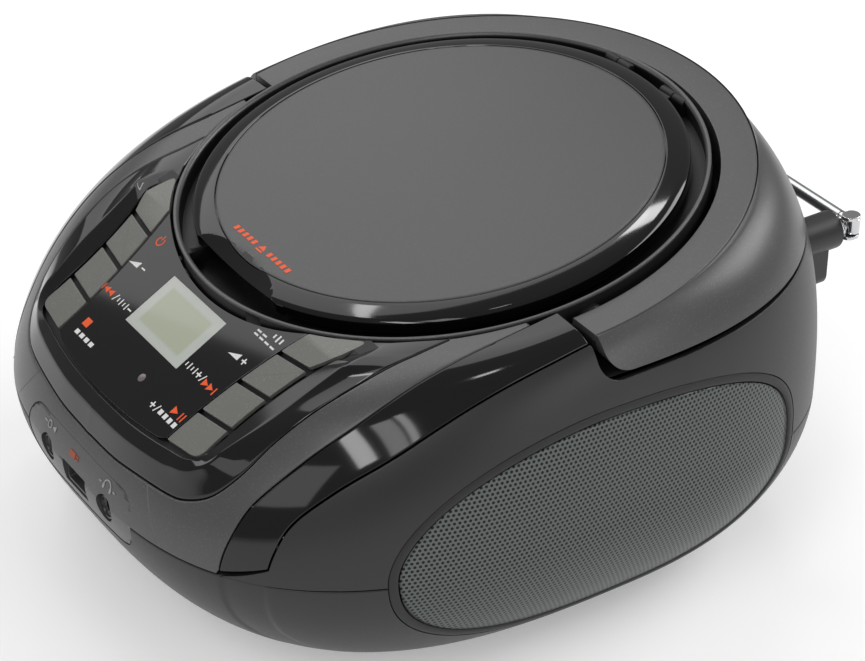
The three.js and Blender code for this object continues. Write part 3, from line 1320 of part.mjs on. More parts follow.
export default boombox;
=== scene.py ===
"""CD boombox: cabinet skins, lid, handle, keys, sockets, grilles and antenna, set up for a studio view."""

import math

import bpy
import numpy as np
from mathutils import Matrix, Vector


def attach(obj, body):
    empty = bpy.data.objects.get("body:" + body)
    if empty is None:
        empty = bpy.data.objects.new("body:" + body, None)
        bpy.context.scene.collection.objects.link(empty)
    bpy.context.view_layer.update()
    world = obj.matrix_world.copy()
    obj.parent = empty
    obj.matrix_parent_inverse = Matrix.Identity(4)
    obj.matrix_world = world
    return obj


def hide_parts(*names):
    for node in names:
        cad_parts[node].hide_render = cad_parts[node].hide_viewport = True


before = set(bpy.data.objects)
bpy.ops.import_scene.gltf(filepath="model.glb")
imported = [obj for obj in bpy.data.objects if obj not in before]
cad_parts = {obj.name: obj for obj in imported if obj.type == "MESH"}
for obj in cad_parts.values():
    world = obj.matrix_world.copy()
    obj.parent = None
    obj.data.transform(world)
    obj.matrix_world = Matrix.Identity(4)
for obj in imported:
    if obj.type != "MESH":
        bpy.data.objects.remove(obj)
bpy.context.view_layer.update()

MM = 0.001
ORIGIN_Y = 4.1
SEAM = 0.15
WALL = 0.4
EDGE_DEPTH = 2.4
STEP = 1e-4

# Cabinet form: a bowl below the parting line and a crown above it, in millimetres
PARTING = 50.0
CENTRE_Y = 13.2
HALF_WIDTH = 106.8
FRONT_DEPTH = 128.0
REAR_DEPTH = 101.6
PLAN_POWER = 2.83
BOWL_HEIGHT, BOWL_POWER = 47.0, 1.75
BOWL_INSETS = (53.6, 33.7, 50.0)
CROWN_POWERS = (1.32, 2.72, 2.4)
CROWN_RADIUS = 86.8
LEDGE, LEDGE_END = 30.0, 1.25
DECK_Y, DECK_Z, DECK_TILT, DECK_SINK = 11.8, 112.0, 0.1536, 1.2
PANEL_Y, PANEL_Z, PANEL_TILT = -66.1, 95.8, 0.513
RING_RADIUS = 81.0
HINGE_V, HINGE_W = 77.2, -2.6

placed = Matrix.Scale(MM, 4) @ Matrix.Translation((0, -ORIGIN_Y, 0))
deck_frame = Matrix.Translation((0, DECK_Y, DECK_Z)) @ Matrix.Rotation(DECK_TILT, 4, "X")
panel_frame = Matrix.Translation((0, PANEL_Y, PANEL_Z)) @ Matrix.Rotation(PANEL_TILT, 4, "X")
flat_frame = Matrix.Identity(4)


def ring_height(y):
    """Height of the plane that the crown and the ring meet in, a little under the deck."""
    return DECK_Z + math.tan(DECK_TILT) * (y - DECK_Y) - DECK_SINK


def panel_height(y):
    return PANEL_Z + np.tan(PANEL_TILT) * (y - PANEL_Y)


def around(angle, front, side, rear):
    """A measure that eases from its front value over its side value to its rear value."""
    sine = np.sin(angle)
    return side + (np.where(sine < 0, front, rear) - side) * sine**2


def cabinet(angle, share):
    """Points on the cabinet. Share runs from -1 under the bowl, through 0 at the parting line, to 1 where
    the crown turns flat, and on over the ledge to the deck."""
    angle, share = np.broadcast_arrays(np.asarray(angle, float), np.asarray(share, float))
    cosine, sine = np.cos(angle), np.sin(angle)
    depth = np.where(sine < 0, FRONT_DEPTH, REAR_DEPTH)
    spread = np.abs(cosine / HALF_WIDTH) ** PLAN_POWER + np.abs(sine / depth) ** PLAN_POWER
    reach = spread ** (-1 / PLAN_POWER)
    turn = np.clip(np.abs(share), 0, 1) * math.pi / 2
    up, out = np.sin(turn), np.maximum(np.cos(turn), 0)
    bowl = reach - around(angle, *BOWL_INSETS) * (1 - out ** (2 / BOWL_POWER))
    bowl_z = PARTING - BOWL_HEIGHT * up ** (2 / BOWL_POWER)
    power = around(angle, *CROWN_POWERS)
    ledge = CROWN_RADIUS - LEDGE * np.clip(share - 1, 0, 1)
    top_x, top_y = ledge * cosine, DECK_Y + ledge * sine
    ease, rise = out ** (2 / power), up ** (2 / power)
    crown = np.stack([
        top_x + (reach * cosine - top_x) * ease,
        top_y + (CENTRE_Y + reach * sine - top_y) * ease,
        PARTING + (ring_height(top_y) - PARTING) * rise,
    ], -1)
    low = np.stack([bowl * cosine, CENTRE_Y + bowl * sine, bowl_z], -1)
    return np.where((share >= 0)[..., None], crown, low)


def unit(vectors):
    return vectors / np.maximum(np.linalg.norm(vectors, axis=-1, keepdims=True), 1e-9)


def points_at(places):
    """Cabinet points of places, which are pairs of angle and share."""
    return cabinet(places[..., 0], places[..., 1])


def normals_at(places, step=1e-3):
    angle, share = places[..., 0], places[..., 1]
    across = cabinet(angle + step, share) - cabinet(angle - step, share)
    up = cabinet(angle, share + step) - cabinet(angle, np.maximum(share - step, -1))
    return unit(np.cross(across, up))


def solve(target, pick, angle, share, low=0.0, high=1.0):
    """Places of the cabinet points whose two picked measures meet the target, by Newton steps."""
    angle, share = np.array(angle, float), np.array(share, float)
    for _ in range(30):
        here = pick(cabinet(angle, share))
        by_angle = (pick(cabinet(angle + STEP, share)) - here) / STEP
        by_share = (pick(cabinet(angle, share + STEP)) - here) / STEP
        miss = target - here
        det = by_angle[..., 0] * by_share[..., 1] - by_angle[..., 1] * by_share[..., 0]
        det = np.where(np.abs(det) < 1e-6, 1e-6, det)
        turn = (miss[..., 0] * by_share[..., 1] - miss[..., 1] * by_share[..., 0]) / det
        lift = (by_angle[..., 0] * miss[..., 1] - by_angle[..., 1] * miss[..., 0]) / det
        angle = angle + np.clip(turn, -0.15, 0.15)
        share = np.clip(share + np.clip(lift, -0.15, 0.15), low + 2e-4, high - 2e-4)
    return np.stack([angle, share], -1)


def from_plan(points):
    """Cabinet places of plan points on the crown and its ledge."""
    points = np.asarray(points, float)
    angle = np.arctan2(points[:, 1] - CENTRE_Y, points[:, 0])
    shares = np.linspace(0.001, LEDGE_END, 300)
    grid = cabinet(angle[:, None], shares[None, :])
    miss = np.hypot(grid[..., 0] - points[:, None, 0], grid[..., 1] - points[:, None, 1])
    best = shares[np.argmin(miss, axis=1)]
    return solve(points[:, :2], lambda p: p[..., :2], angle, best, high=LEDGE_END)


def from_side(points, side=1, steps=121):
    """Cabinet places of (y, z) points seen from one side."""
    points = np.asarray(points, float)
    angles = np.linspace(-1.25, 1.25, steps)
    shares = np.linspace(-0.95, 0.98, steps)
    grid = cabinet(angles[:, None], shares[None, :])[None, ..., 1:]
    miss = ((grid - points[:, None, None]) ** 2).sum(axis=-1)
    best = np.argmin(miss.reshape(len(points), -1), axis=1)
    places = solve(points, lambda p: p[..., 1:], angles[best // steps], shares[best % steps], -1.0, 1.0)
    return places if side > 0 else turned_over(places)


def from_front(points):
    """Cabinet places of (x, z) points seen from the front."""
    points = np.asarray(points, float)
    angle = -math.pi / 2 + points[:, 0] / FRONT_DEPTH
    for _ in range(12):
        low, high = np.full(len(points), -0.95), np.full(len(points), 0.95)
        for _ in range(40):
            share = (low + high) / 2
            above = cabinet(angle, share)[:, 2] > points[:, 1]
            high = np.where(above, share, high)
            low = np.where(above, low, share)
        here = cabinet(angle, share)[:, 0]
        slope = (cabinet(angle + STEP, share)[:, 0] - here) / STEP
        angle = angle + (points[:, 0] - here) / slope
    return np.stack([angle, share], -1)


def shares_at_height(angles, height, start, rounds, pace=1.0, low=-math.inf, high=math.inf):
    """Shares at which the cabinet reaches a height that is a function of y, by Newton steps."""
    shares = np.full(len(angles), start)
    for _ in range(rounds):
        points = cabinet(angles, shares)
        slope = (cabinet(angles, shares + STEP)[:, 2] - points[:, 2]) / STEP
        shares = np.clip(shares + pace * (height(points[:, 1]) - points[:, 2]) / slope, low, high)
    return shares


def above_parting(angle):
    """Share of the crown point that stands a seam above the parting line."""
    power = around(angle, *CROWN_POWERS)
    return np.arcsin((SEAM / (DECK_Z - PARTING)) ** (power / 2)) * 2 / math.pi


BELOW_PARTING = -math.asin((SEAM / BOWL_HEIGHT) ** (BOWL_POWER / 2)) * 2 / math.pi


def turned_over(places, total=math.pi):
    """Places taken over to the other side, where total is twice the angle of the middle."""
    return np.stack([total - places[..., 0], places[..., 1]], -1)


def both_sides(rail, total=math.pi):
    """A rail that is carried on over the middle to the other side."""
    return chained(rail, turned_over(rail[::-1], total))


def smooth_line(points, count):
    """A centripetal curve through points, sampled evenly along its length."""
    points = np.asarray(points, float)
    points = np.vstack([2 * points[0] - points[1], points, 2 * points[-1] - points[-2]])

    def blend(start_point, stop_point, start, stop):
        return (stop - t) / (stop - start) * start_point + (t - start) / (stop - start) * stop_point

    out = []
    for i in range(1, len(points) - 2):
        p0, p1, p2, p3 = points[i - 1:i + 3]
        t1 = np.linalg.norm(p1 - p0) ** 0.5
        t2 = t1 + np.linalg.norm(p2 - p1) ** 0.5
        t3 = t2 + np.linalg.norm(p3 - p2) ** 0.5
        t = np.linspace(t1, t2, 24, endpoint=i == len(points) - 3)[:, None]
        a1, a2, a3 = blend(p0, p1, 0, t1), blend(p1, p2, t1, t2), blend(p2, p3, t2, t3)
        b1, b2 = blend(a1, a2, 0, t2), blend(a2, a3, t1, t3)
        out.append(blend(b1, b2, t1, t2))
    return resampled(np.vstack(out), count)


def resampled(points, count):
    lengths = np.concatenate([[0], np.cumsum(np.linalg.norm(np.diff(points, axis=0), axis=1))])
    at = np.linspace(0, lengths[-1], count)
    return np.stack([np.interp(at, lengths, points[:, k]) for k in range(points.shape[1])], -1)


def chained(*parts):
    """Lines laid end to end, with the shared points kept once."""
    return np.vstack([parts[0]] + [part[1:] for part in parts[1:]])


def bend(a, corner, b, t):
    """A point on the soft bend that leads from a to b past their corner."""
    return (1 - t) ** 2 * a + 2 * t * (1 - t) * corner + t**2 * b


def deck_distance(points):
    """Distance of plan points from the lid's axis, measured in the deck's plane."""
    return np.hypot(points[:, 0], (points[:, 1] - DECK_Y) / math.cos(DECK_TILT))


def deck_circle(radius, start, stop, count):
    angle = np.linspace(start, stop, count)
    return np.stack([radius * np.cos(angle), DECK_Y + radius * np.sin(angle) * math.cos(DECK_TILT)], -1)


# Mesh making
def chosen(piece):
    bpy.ops.object.select_all(action="DESELECT")
    piece.select_set(True)
    bpy.context.view_layer.objects.active = piece


def added(primitive, **settings):
    """A primitive, made with nothing else selected."""
    bpy.ops.object.select_all(action="DESELECT")
    primitive(**settings)
    return bpy.context.object


def edited(piece, *steps):
    chosen(piece)
    bpy.ops.object.mode_set(mode="EDIT")
    bpy.ops.mesh.select_all(action="SELECT")
    for step in steps:
        step()
    bpy.ops.object.mode_set(mode="OBJECT")


def settle(piece, name, transform=flat_frame):
    """Names a piece and moves its place into its mesh, in metres."""
    piece.name = name
    piece.data.name = name
    piece.data.transform(placed @ transform @ piece.matrix_world)
    piece.matrix_world = Matrix.Identity(4)
    return piece


def modified(piece, kind, **settings):
    chosen(piece)
    modifier = piece.modifiers.new(kind.title(), kind)
    for key, value in settings.items():
        setattr(modifier, key, value)
    bpy.ops.object.modifier_apply(modifier=modifier.name)
    return piece


def shaded(piece, angle):
    """Smooth shading up to an angle, with flat faces kept flat beside their rounded edges."""
    chosen(piece)
    bpy.ops.object.shade_smooth_by_angle(angle=math.radians(angle))
    return modified(piece, "WEIGHTED_NORMAL", keep_sharp=True)


def faced_out(piece, towards):
    """Turns an open sheet round if its faces look away from the given directions."""
    total = sum(face.normal.dot(towards(face.center)) * face.area for face in piece.data.polygons)
    if total < 0:
        edited(piece, lambda: bpy.ops.mesh.flip_normals())


def from_middle(place):
    return place - Vector((0, 0.008, 0.055))


def sheet(name, grid, towards=from_middle, transform=flat_frame, smooth=35, closed=False):
    """A grid primitive whose rows and columns are laid on the given points."""
    grid = np.asarray(grid, float)
    rows, columns = grid.shape[:2]
    piece = added(bpy.ops.mesh.primitive_grid_add, x_subdivisions=columns - 1, y_subdivisions=rows - 1)
    piece.data.vertices.foreach_set("co", grid.reshape(-1))
    piece.data.update()
    settle(piece, name, transform)
    edited(piece, lambda: bpy.ops.mesh.remove_doubles(threshold=2e-6), lambda: bpy.ops.mesh.delete_loose())
    if closed:
        edited(piece, lambda: bpy.ops.mesh.normals_make_consistent(inside=False))
    else:
        faced_out(piece, towards)
    chosen(piece)
    bpy.ops.object.shade_smooth_by_angle(angle=math.radians(smooth))
    return piece


def rolled(grid, drop, radius=0.5, depth=EDGE_DEPTH, first=True, last=True):
    """A sheet whose first and last rows turn down in a small round, as a moulded edge does."""
    def edge(a, b, n):
        reach = np.linalg.norm(b - a, axis=-1, keepdims=True)
        along = (b - a) / np.maximum(reach, 1e-9)
        r = np.minimum(radius, 0.7 * reach)
        centre = a + along * r - n * r
        turns = np.radians([0, 22.5, 45, 67.5, 90])
        return [a - n * depth] + [centre - along * r * math.cos(t) + n * r * math.sin(t) for t in turns]

    head = edge(grid[0], grid[1], drop[0]) if first else [grid[0]]
    tail = edge(grid[-1], grid[-2], drop[-1])[::-1] if last else [grid[-1]]
    drops = [drop[0]] * len(head) + list(drop[1:-1]) + [drop[-1]] * len(tail)
    return np.array(head + list(grid[1:-1]) + tail), np.array(drops)


def skin(name, rail_a, rail_b, rows, lift=0.0, radius=0.5, depth=EDGE_DEPTH, ends=False, wall=WALL):
    """A moulded skin on the cabinet between two rails of places, its edges rolled, and its ends if asked."""
    weight = np.linspace(0, 1, rows)[:, None, None]
    places = rail_a[None] * (1 - weight) + rail_b[None] * weight
    normals = normals_at(places)
    points, normals = rolled(points_at(places) + normals * lift, normals, radius, depth)
    if ends:
        points, normals = np.swapaxes(points, 0, 1), np.swapaxes(normals, 0, 1)
        points = np.swapaxes(rolled(points, normals, radius, depth)[0], 0, 1)
    return walled(sheet(name, points), wall)


def turned(name, profile, steps=128, transform=flat_frame, smooth=32):
    """A closed profile of (radius, height) spun a full turn."""
    profile = np.array(profile + [profile[0]], float)
    angle = np.linspace(0, 2 * math.pi, steps + 1)
    grid = np.stack([
        profile[:, None, 0] * np.cos(angle), profile[:, None, 0] * np.sin(angle),
        np.broadcast_to(profile[:, None, 1], (len(profile), steps + 1)),
    ], -1)
    return sheet(name, grid, transform=transform, smooth=smooth, closed=True)


def softened(profile, radius=0.4, steps=4):
    """A closed profile whose corners off the axis are rounded."""
    profile = [np.array(p, float) for p in profile]
    out = []
    for i, corner in enumerate(profile):
        before, after = profile[i - 1], profile[(i + 1) % len(profile)]
        if corner[0] < 1e-6:
            out.append(tuple(corner))
            continue
        arm = min(radius, 0.4 * np.linalg.norm(before - corner), 0.4 * np.linalg.norm(after - corner))
        a = corner + unit(before - corner) * arm
        b = corner + unit(after - corner) * arm
        out += [tuple(bend(a, corner, b, t)) for t in np.linspace(0, 1, steps)]
    return out


def rod(name, radius, low, high, transform=flat_frame, soft=0.4, steps=40):
    """A round bar about Z between two heights, with its rims softened."""
    profile = [(0, low), (radius, low), (radius, high), (0, high)]
    return turned(name, softened(profile, soft) if soft else profile, steps, transform)


def slab(name, low, high, transform=flat_frame, bevel=0.3):
    """A block between two corners, with its edges rounded."""
    piece = added(bpy.ops.mesh.primitive_cube_add, size=1)
    low, high = Vector(low), Vector(high)
    piece.data.transform(Matrix.Translation((low + high) / 2) @ Matrix.Diagonal((*(high - low), 1)))
    if bevel:
        edited(piece, lambda: bpy.ops.mesh.bevel(offset=bevel, segments=3, affect="EDGES"))
    settle(piece, name, transform)
    return shaded(piece, 35)


def top_edges_rounded(piece, high, bevel):
    """Bevels the edges of an unplaced plate that lie at its top height."""
    edited(
        piece,
        lambda: bpy.ops.mesh.select_mode(type="EDGE"),
        lambda: bpy.ops.mesh.select_all(action="DESELECT"),
    )
    for edge in piece.data.edges:
        edge.select = all(abs(piece.data.vertices[k].co.z - high) < STEP for k in edge.vertices)
    bpy.ops.object.mode_set(mode="EDIT")
    bpy.ops.mesh.bevel(offset=bevel, segments=3, affect="EDGES")
    bpy.ops.object.mode_set(mode="OBJECT")


def outline_plate(name, outline, low, high, transform=flat_frame, bevel=0.0):
    """A flat plate from an outline, extruded to its thickness and rounded along its top edge."""
    piece = added(bpy.ops.mesh.primitive_circle_add, vertices=len(outline), radius=1, fill_type="NGON")
    for vertex, (x, y) in zip(piece.data.vertices, outline):
        vertex.co = (x, y, low)
    rise = {"value": (0, 0, high - low)}
    edited(piece, lambda: bpy.ops.mesh.extrude_region_move(TRANSFORM_OT_translate=rise))
    edited(piece, lambda: bpy.ops.mesh.normals_make_consistent(inside=False))
    if bevel:
        top_edges_rounded(piece, high, bevel)
    settle(piece, name, transform)
    return shaded(piece, 32)


def soft_edged(piece, width=0.25, segments=2, angle=50):
    """Rounds every sharp edge a little, so that it catches the light."""
    limit = {"limit_method": "ANGLE", "angle_limit": math.radians(angle)}
    modified(piece, "BEVEL", width=width * MM, segments=segments, **limit)
    return shaded(piece, 40)


def walled(piece, thickness=WALL):
    """Gives an open skin its wall, inwards."""
    return modified(piece, "SOLIDIFY", thickness=thickness * MM, offset=-1.0, use_rim=True)


def upright(outline, name, y0, y1):
    """A plate drawn in x and z, from its far side y1 to its near side y0."""
    return outline_plate(name, outline, -y1, -y0, Matrix.Rotation(math.pi / 2, 4, "X"))


def sideways(outline, name, x0, x1):
    """A plate drawn in y and z, from x0 to x1."""
    turn = Matrix(((0, 0, 1, 0), (1, 0, 0, 0), (0, 1, 0, 0), (0, 0, 0, 1)))
    return outline_plate(name, outline, x0, x1, turn)


def rounded_box(x, y, half_x, half_y, radius, steps=10):
    points = []
    for quarter, (sx, sy) in enumerate(((1, 1), (-1, 1), (-1, -1), (1, -1))):
        for angle in np.linspace(quarter, quarter + 1, steps) * math.pi / 2:
            points.append((
                x + sx * (half_x - radius) + radius * math.cos(angle),
                y + sy * (half_y - radius) + radius * math.sin(angle),
            ))
    return points


def lying(axis, place):
    """A frame whose Z runs along a main axis from a place."""
    turn = {"X": Matrix.Rotation(math.pi / 2, 4, "Y"), "Y": Matrix.Rotation(-math.pi / 2, 4, "X")}[axis]
    return Matrix.Translation(place) @ turn


def cut_away(piece, *tools, operation="DIFFERENCE"):
    for tool in tools:
        modified(piece, "BOOLEAN", operation=operation, object=tool, solver="EXACT")
        bpy.data.objects.remove(tool)
    return shaded(piece, 30)


def joined(name, *pieces):
    bpy.ops.object.select_all(action="DESELECT")
    for piece in pieces:
        piece.select_set(True)
    bpy.context.view_layer.objects.active = pieces[0]
    bpy.ops.object.join()
    return renamed(pieces[0], name)


def renamed(piece, name):
    piece.name = name
    piece.data.name = name
    return piece


def fitted(piece, body, material, slot, *nodes):
    """Gives a piece its finish and its body, and lets it stand for CAD nodes."""
    piece.data.materials.clear()
    piece.data.materials.append(material)
    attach(piece, body)
    if nodes:
        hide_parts(*nodes)
    return piece


# Finishes
def new_node(tree, kind, inputs=None, **settings):
    """A shader node with its settings made and its inputs given values or linked to other nodes' outputs."""
    node = tree.nodes.new("ShaderNode" + kind)
    for key, value in settings.items():
        setattr(node, key, value)
    for socket, value in (inputs or {}).items():
        if isinstance(value, bpy.types.NodeSocket):
            tree.links.new(value, node.inputs[socket])
        else:
            node.inputs[socket].default_value = value
    return node


def maths(tree, operation, a, b=0.0):
    return new_node(tree, "Math", {0: a, 1: b}, operation=operation).outputs[0]


def mixed(tree, share, a, b):
    """A colour between a and b."""
    return new_node(tree, "Mix", {0: share, 6: a, 7: b}, data_type="RGBA").outputs[2]


def bumped(tree, shader, height, strength, distance):
    relief = new_node(tree, "Bump", {"Strength": strength, "Distance": distance * MM, "Height": height})
    tree.links.new(relief.outputs["Normal"], shader.inputs["Normal"])


def new_group(name, inputs, outputs):
    group = bpy.data.node_groups.new(name, "ShaderNodeTree")
    for label, value in inputs.items():
        socket = group.interface.new_socket(label, in_out="INPUT", socket_type="NodeSocketFloat")
        socket.default_value = value
    for label in outputs:
        group.interface.new_socket(label, in_out="OUTPUT", socket_type="NodeSocketFloat")
    return group, group.nodes.new("NodeGroupInput"), group.nodes.new("NodeGroupOutput")


def new_material(name):
    material = bpy.data.materials.new(name)
    material.use_nodes = True
    return material, material.node_tree, material.node_tree.nodes["Principled BSDF"]


def moulded_grain():
    """Fine spark-eroded grain and slow tone drift of moulded plastic."""
    sizes = {"Grain size": 1800.0, "Drift size": 9.0}
    group, given, out = new_group("Moulded grain", sizes, ("Height", "Drift", "Grain"))
    place = new_node(group, "TexCoord").outputs["Object"]
    grain, drift = (
        new_node(group, "TexNoise", {"Vector": place, "Scale": given.outputs[size], "Detail": detail})
        for size, detail in (("Grain size", 3.0), ("Drift size", 2.0))
    )
    for noise, socket in ((grain, "Height"), (grain, "Grain"), (drift, "Drift")):
        group.links.new(noise.outputs["Fac"], out.inputs[socket])
    return group


def metal_fleck():
    """Tiny bright flakes scattered in a satin paint."""
    group, given, out = new_group("Metal fleck", {"Flake size": 3200.0, "Share": 0.12}, ["Flakes"])
    spread = {"Vector": new_node(group, "TexCoord").outputs["Object"], "Scale": given.outputs["Flake size"]}
    cells = new_node(group, "TexVoronoi", spread, feature="F1")
    parts = new_node(group, "SeparateColor", {"Color": cells.outputs["Color"]})
    limit = maths(group, "LESS_THAN", parts.outputs["Red"], given.outputs["Share"])
    group.links.new(maths(group, "MULTIPLY", limit, parts.outputs["Green"]), out.inputs["Flakes"])
    return group


GRAIN = moulded_grain()
FLECK = metal_fleck()


def linear(*colour):
    return tuple(c / 12.92 if c <= 0.04045 else ((c + 0.055) / 1.055) ** 2.4 for c in colour)


def finish(name, colour, roughness, tone=0.12, rough_drift=0.06, bump=0.12, bump_mm=0.02,
           grain=1800.0, fleck=0.0, metallic=0.0, coat=0.0):
    """A material: colour with slow drift, grained roughness, fine bump and optional metal fleck."""
    material, tree, shader = new_material(name)
    shader.inputs["Metallic"].default_value = metallic
    shader.inputs["Coat Weight"].default_value = coat
    shader.inputs["Coat Roughness"].default_value = 0.04
    surface = new_node(tree, "Group", node_tree=GRAIN)
    surface.inputs["Grain size"].default_value = grain
    base = linear(*colour)
    dark, light = (tuple(min(1, c * (1 + shift)) for c in base) for shift in (-tone, tone))
    paint = mixed(tree, surface.outputs["Drift"], (*dark, 1), (*light, 1))
    if fleck:
        flakes = new_node(tree, "Group", node_tree=FLECK).outputs["Flakes"]
        bright = tuple(min(1, c * 2.6 + 0.02) for c in base)
        paint = mixed(tree, maths(tree, "MULTIPLY", flakes, fleck), paint, (*bright, 1))
    tree.links.new(paint, shader.inputs["Base Color"])
    rough = new_node(tree, "MapRange", {
        "Value": surface.outputs["Drift" if coat or roughness < 0.2 else "Grain"],
        "To Min": max(0.02, roughness - rough_drift),
        "To Max": min(1.0, roughness + rough_drift),
    })
    tree.links.new(rough.outputs["Result"], shader.inputs["Roughness"])
    if bump:
        bumped(tree, shader, surface.outputs["Height"], bump, bump_mm)
    return material


def ink(name, colour, tone=0.05):
    return finish(name, colour, 0.5, tone=tone, bump=0)


PAINT = {"bump": 0.25, "bump_mm": 0.03, "metallic": 0.15}
SMOOTH = {"bump": 0, "rough_drift": 0.02}
MOULDED = {"bump": 0.4, "bump_mm": 0.05}

matte_plastic = finish("Matte side plastic", (0.125, 0.125, 0.128), 0.42, bump=0.5, bump_mm=0.04, grain=1500)
cover_paint = finish("Charcoal cover paint", (0.3, 0.3, 0.303), 0.34, fleck=0.22, **PAINT)
lid_paint = finish("Charcoal lid paint", (0.27, 0.27, 0.272), 0.34, fleck=0.14, **PAINT)
gloss_plastic = finish("Polished black plastic", (0.03, 0.03, 0.035), 0.07, **SMOOTH)
lens_plastic = finish("Dark display window", (0.03, 0.03, 0.034), 0.05, bump=0, rough_drift=0.01)
key_plastic = finish("Grey key plastic", (0.42, 0.42, 0.405), 0.36,
                     bump=0.3, bump_mm=0.03, grain=2200, fleck=0.2, metallic=0.2)
dark_plastic = finish("Inner black plastic", (0.09, 0.09, 0.093), 0.55, **MOULDED)
well_plastic = finish("Black well plastic", (0.045, 0.045, 0.047), 0.5, bump=0.4, bump_mm=0.04)
rubber = finish("Foot rubber", (0.08, 0.08, 0.082), 0.85, bump=0.6, bump_mm=0.08, grain=900)
chrome = finish("Bright plated metal", (0.78, 0.785, 0.79), 0.14,
                tone=0.05, bump=0, rough_drift=0.05, metallic=1.0)
steel = finish("Bare steel", (0.6, 0.61, 0.62), 0.35, tone=0.08, bump=0.2, rough_drift=0.08, metallic=1.0)
cone_paper = finish("Speaker cone paper", (0.1, 0.1, 0.105), 0.9, bump=0.8, bump_mm=0.15, grain=700)
board_lacquer = finish("Circuit board lacquer", (0.14, 0.32, 0.18), 0.45, bump=0.3, bump_mm=0.05, grain=500)
socket_black = finish("Socket black", (0.13, 0.13, 0.133), 0.3, bump=0.2, bump_mm=0.03)
pale_plastic = finish("Pale socket tongue", (0.72, 0.71, 0.66), 0.4, tone=0.05, bump=0.1)
eye_plastic = finish("Infrared window", (0.42, 0.38, 0.41), 0.15,
                     tone=0.08, bump=0, rough_drift=0.03, coat=0.4)
white_ink = ink("White print", (0.88, 0.88, 0.87), 0.03)
orange_ink = ink("Orange print", (0.93, 0.33, 0.08))
grey_ink = ink("Grey print", (0.6, 0.6, 0.6))
dull_orange_ink = ink("Dull orange print", (0.62, 0.26, 0.12))

# Edge lines of the front, as shares of the half width and of the front depth
BAND_INNER = [
    (0.61, -0.905), (0.622, -0.873), (0.635, -0.836), (0.664, -0.78), (0.689, -0.723),
    (0.727, -0.605), (0.743, -0.43), (0.745, -0.291), (0.752, -0.111),
]
BAND_OUTER = [
    (0.718, -0.838), (0.724, -0.818), (0.733, -0.789), (0.777, -0.702), (0.825, -0.589),
    (0.85, -0.4875), (0.884, -0.228), (0.892, -0.1125),
]
FRAME_OUTER = [
    (0.66, -0.18), (0.656, -0.3), (0.648, -0.43), (0.641, -0.56), (0.626, -0.64), (0.597, -0.75),
    (0.574, -0.82), (0.53, -0.875), (0.46, -0.912), (0.39, -0.93), (0.183, -0.953), (0, -0.957),
]
FRAME_FOLD = [
    (0.556, -0.34), (0.563, -0.445), (0.57, -0.5), (0.574, -0.55), (0.564, -0.6), (0.548, -0.672),
    (0.532, -0.7445), (0.511, -0.814), (0.498, -0.856), (0.482, -0.875), (0.425, -0.903),
    (0.36, -0.917), (0.18, -0.938), (0, -0.942),
]
FRAME_INNER = [
    (0.505, -0.455), (0.5206, -0.4836), (0.531, -0.508), (0.533, -0.545), (0.51, -0.59),
    (0.483, -0.665), (0.468, -0.75), (0.464, -0.815), (0.457, -0.855), (0.435, -0.883),
    (0.34, -0.9), (0.17, -0.917), (0, -0.921),
]


def plan_line(shares, count=600):
    points = [(a * HALF_WIDTH, CENTRE_Y + b * FRONT_DEPTH) for a, b in shares]
    return smooth_line(points, count)


def offset_line(line, distance):
    """A plan line moved sideways, to the left of its run when positive."""
    along = unit(np.gradient(line, axis=0))
    return line + np.stack([-along[:, 1], along[:, 0]], -1) * distance


def line_ahead(line, distance, rear):
    """A plan line moved sideways, as far as it lies in front of a y."""
    moved = offset_line(line, distance)
    return moved[moved[:, 1] < rear]


# Gloss bands, which end low in a slanted lip above the parting line
band_inner, band_outer = plan_line(BAND_INNER), plan_line(BAND_OUTER)
BAND_REAR = -1.4
LIP_INNER, LIP_OUTER, LIP_GAP = 0.9, 5.3, 0.25


def lip_height(x):
    share = (x - band_inner[0, 0]) / (band_outer[0, 0] - band_inner[0, 0])
    return PARTING + LIP_INNER + (LIP_OUTER - LIP_INNER) * np.clip(share, 0, 1)


def above_lip(line, shift=0.0):
    places = from_plan(line)
    points = points_at(places)
    return places[points[:, 2] > lip_height(points[:, 0]) + shift]


band_rails = [
    resampled(above_lip(line_ahead(line, distance, BAND_REAR)), 180)
    for line, distance in ((band_inner, -SEAM), (band_outer, SEAM))
]
for tag, rails in (("r", band_rails), ("l", [turned_over(rail) for rail in band_rails])):
    band = skin(f"gloss_band_skin_{tag}", *rails, rows=26, lift=0.12, radius=0.7, ends=True)
    fitted(band, "cabinet", gloss_plastic, "gloss", f"gloss_band_{tag}")


# Control frame: falls from the cover to a soft fold, and from there to the panel
FOLD_RISE, FOLD_FADE, FOLD_LIMIT, FOLD_ARM = 1.0, 8, 1.5, 0.8


def outside_ring(line):
    return line[deck_distance(line) > RING_RADIUS + 0.5]


frame_outer, frame_fold, frame_inner = (
    resampled(outside_ring(plan_line(shares)), 160) for shares in (FRAME_OUTER, FRAME_FOLD, FRAME_INNER)
)


def whole(line):
    """A line from the right tip to the middle, carried on to the left tip."""
    return chained(line, line[::-1] * (-1, 1))


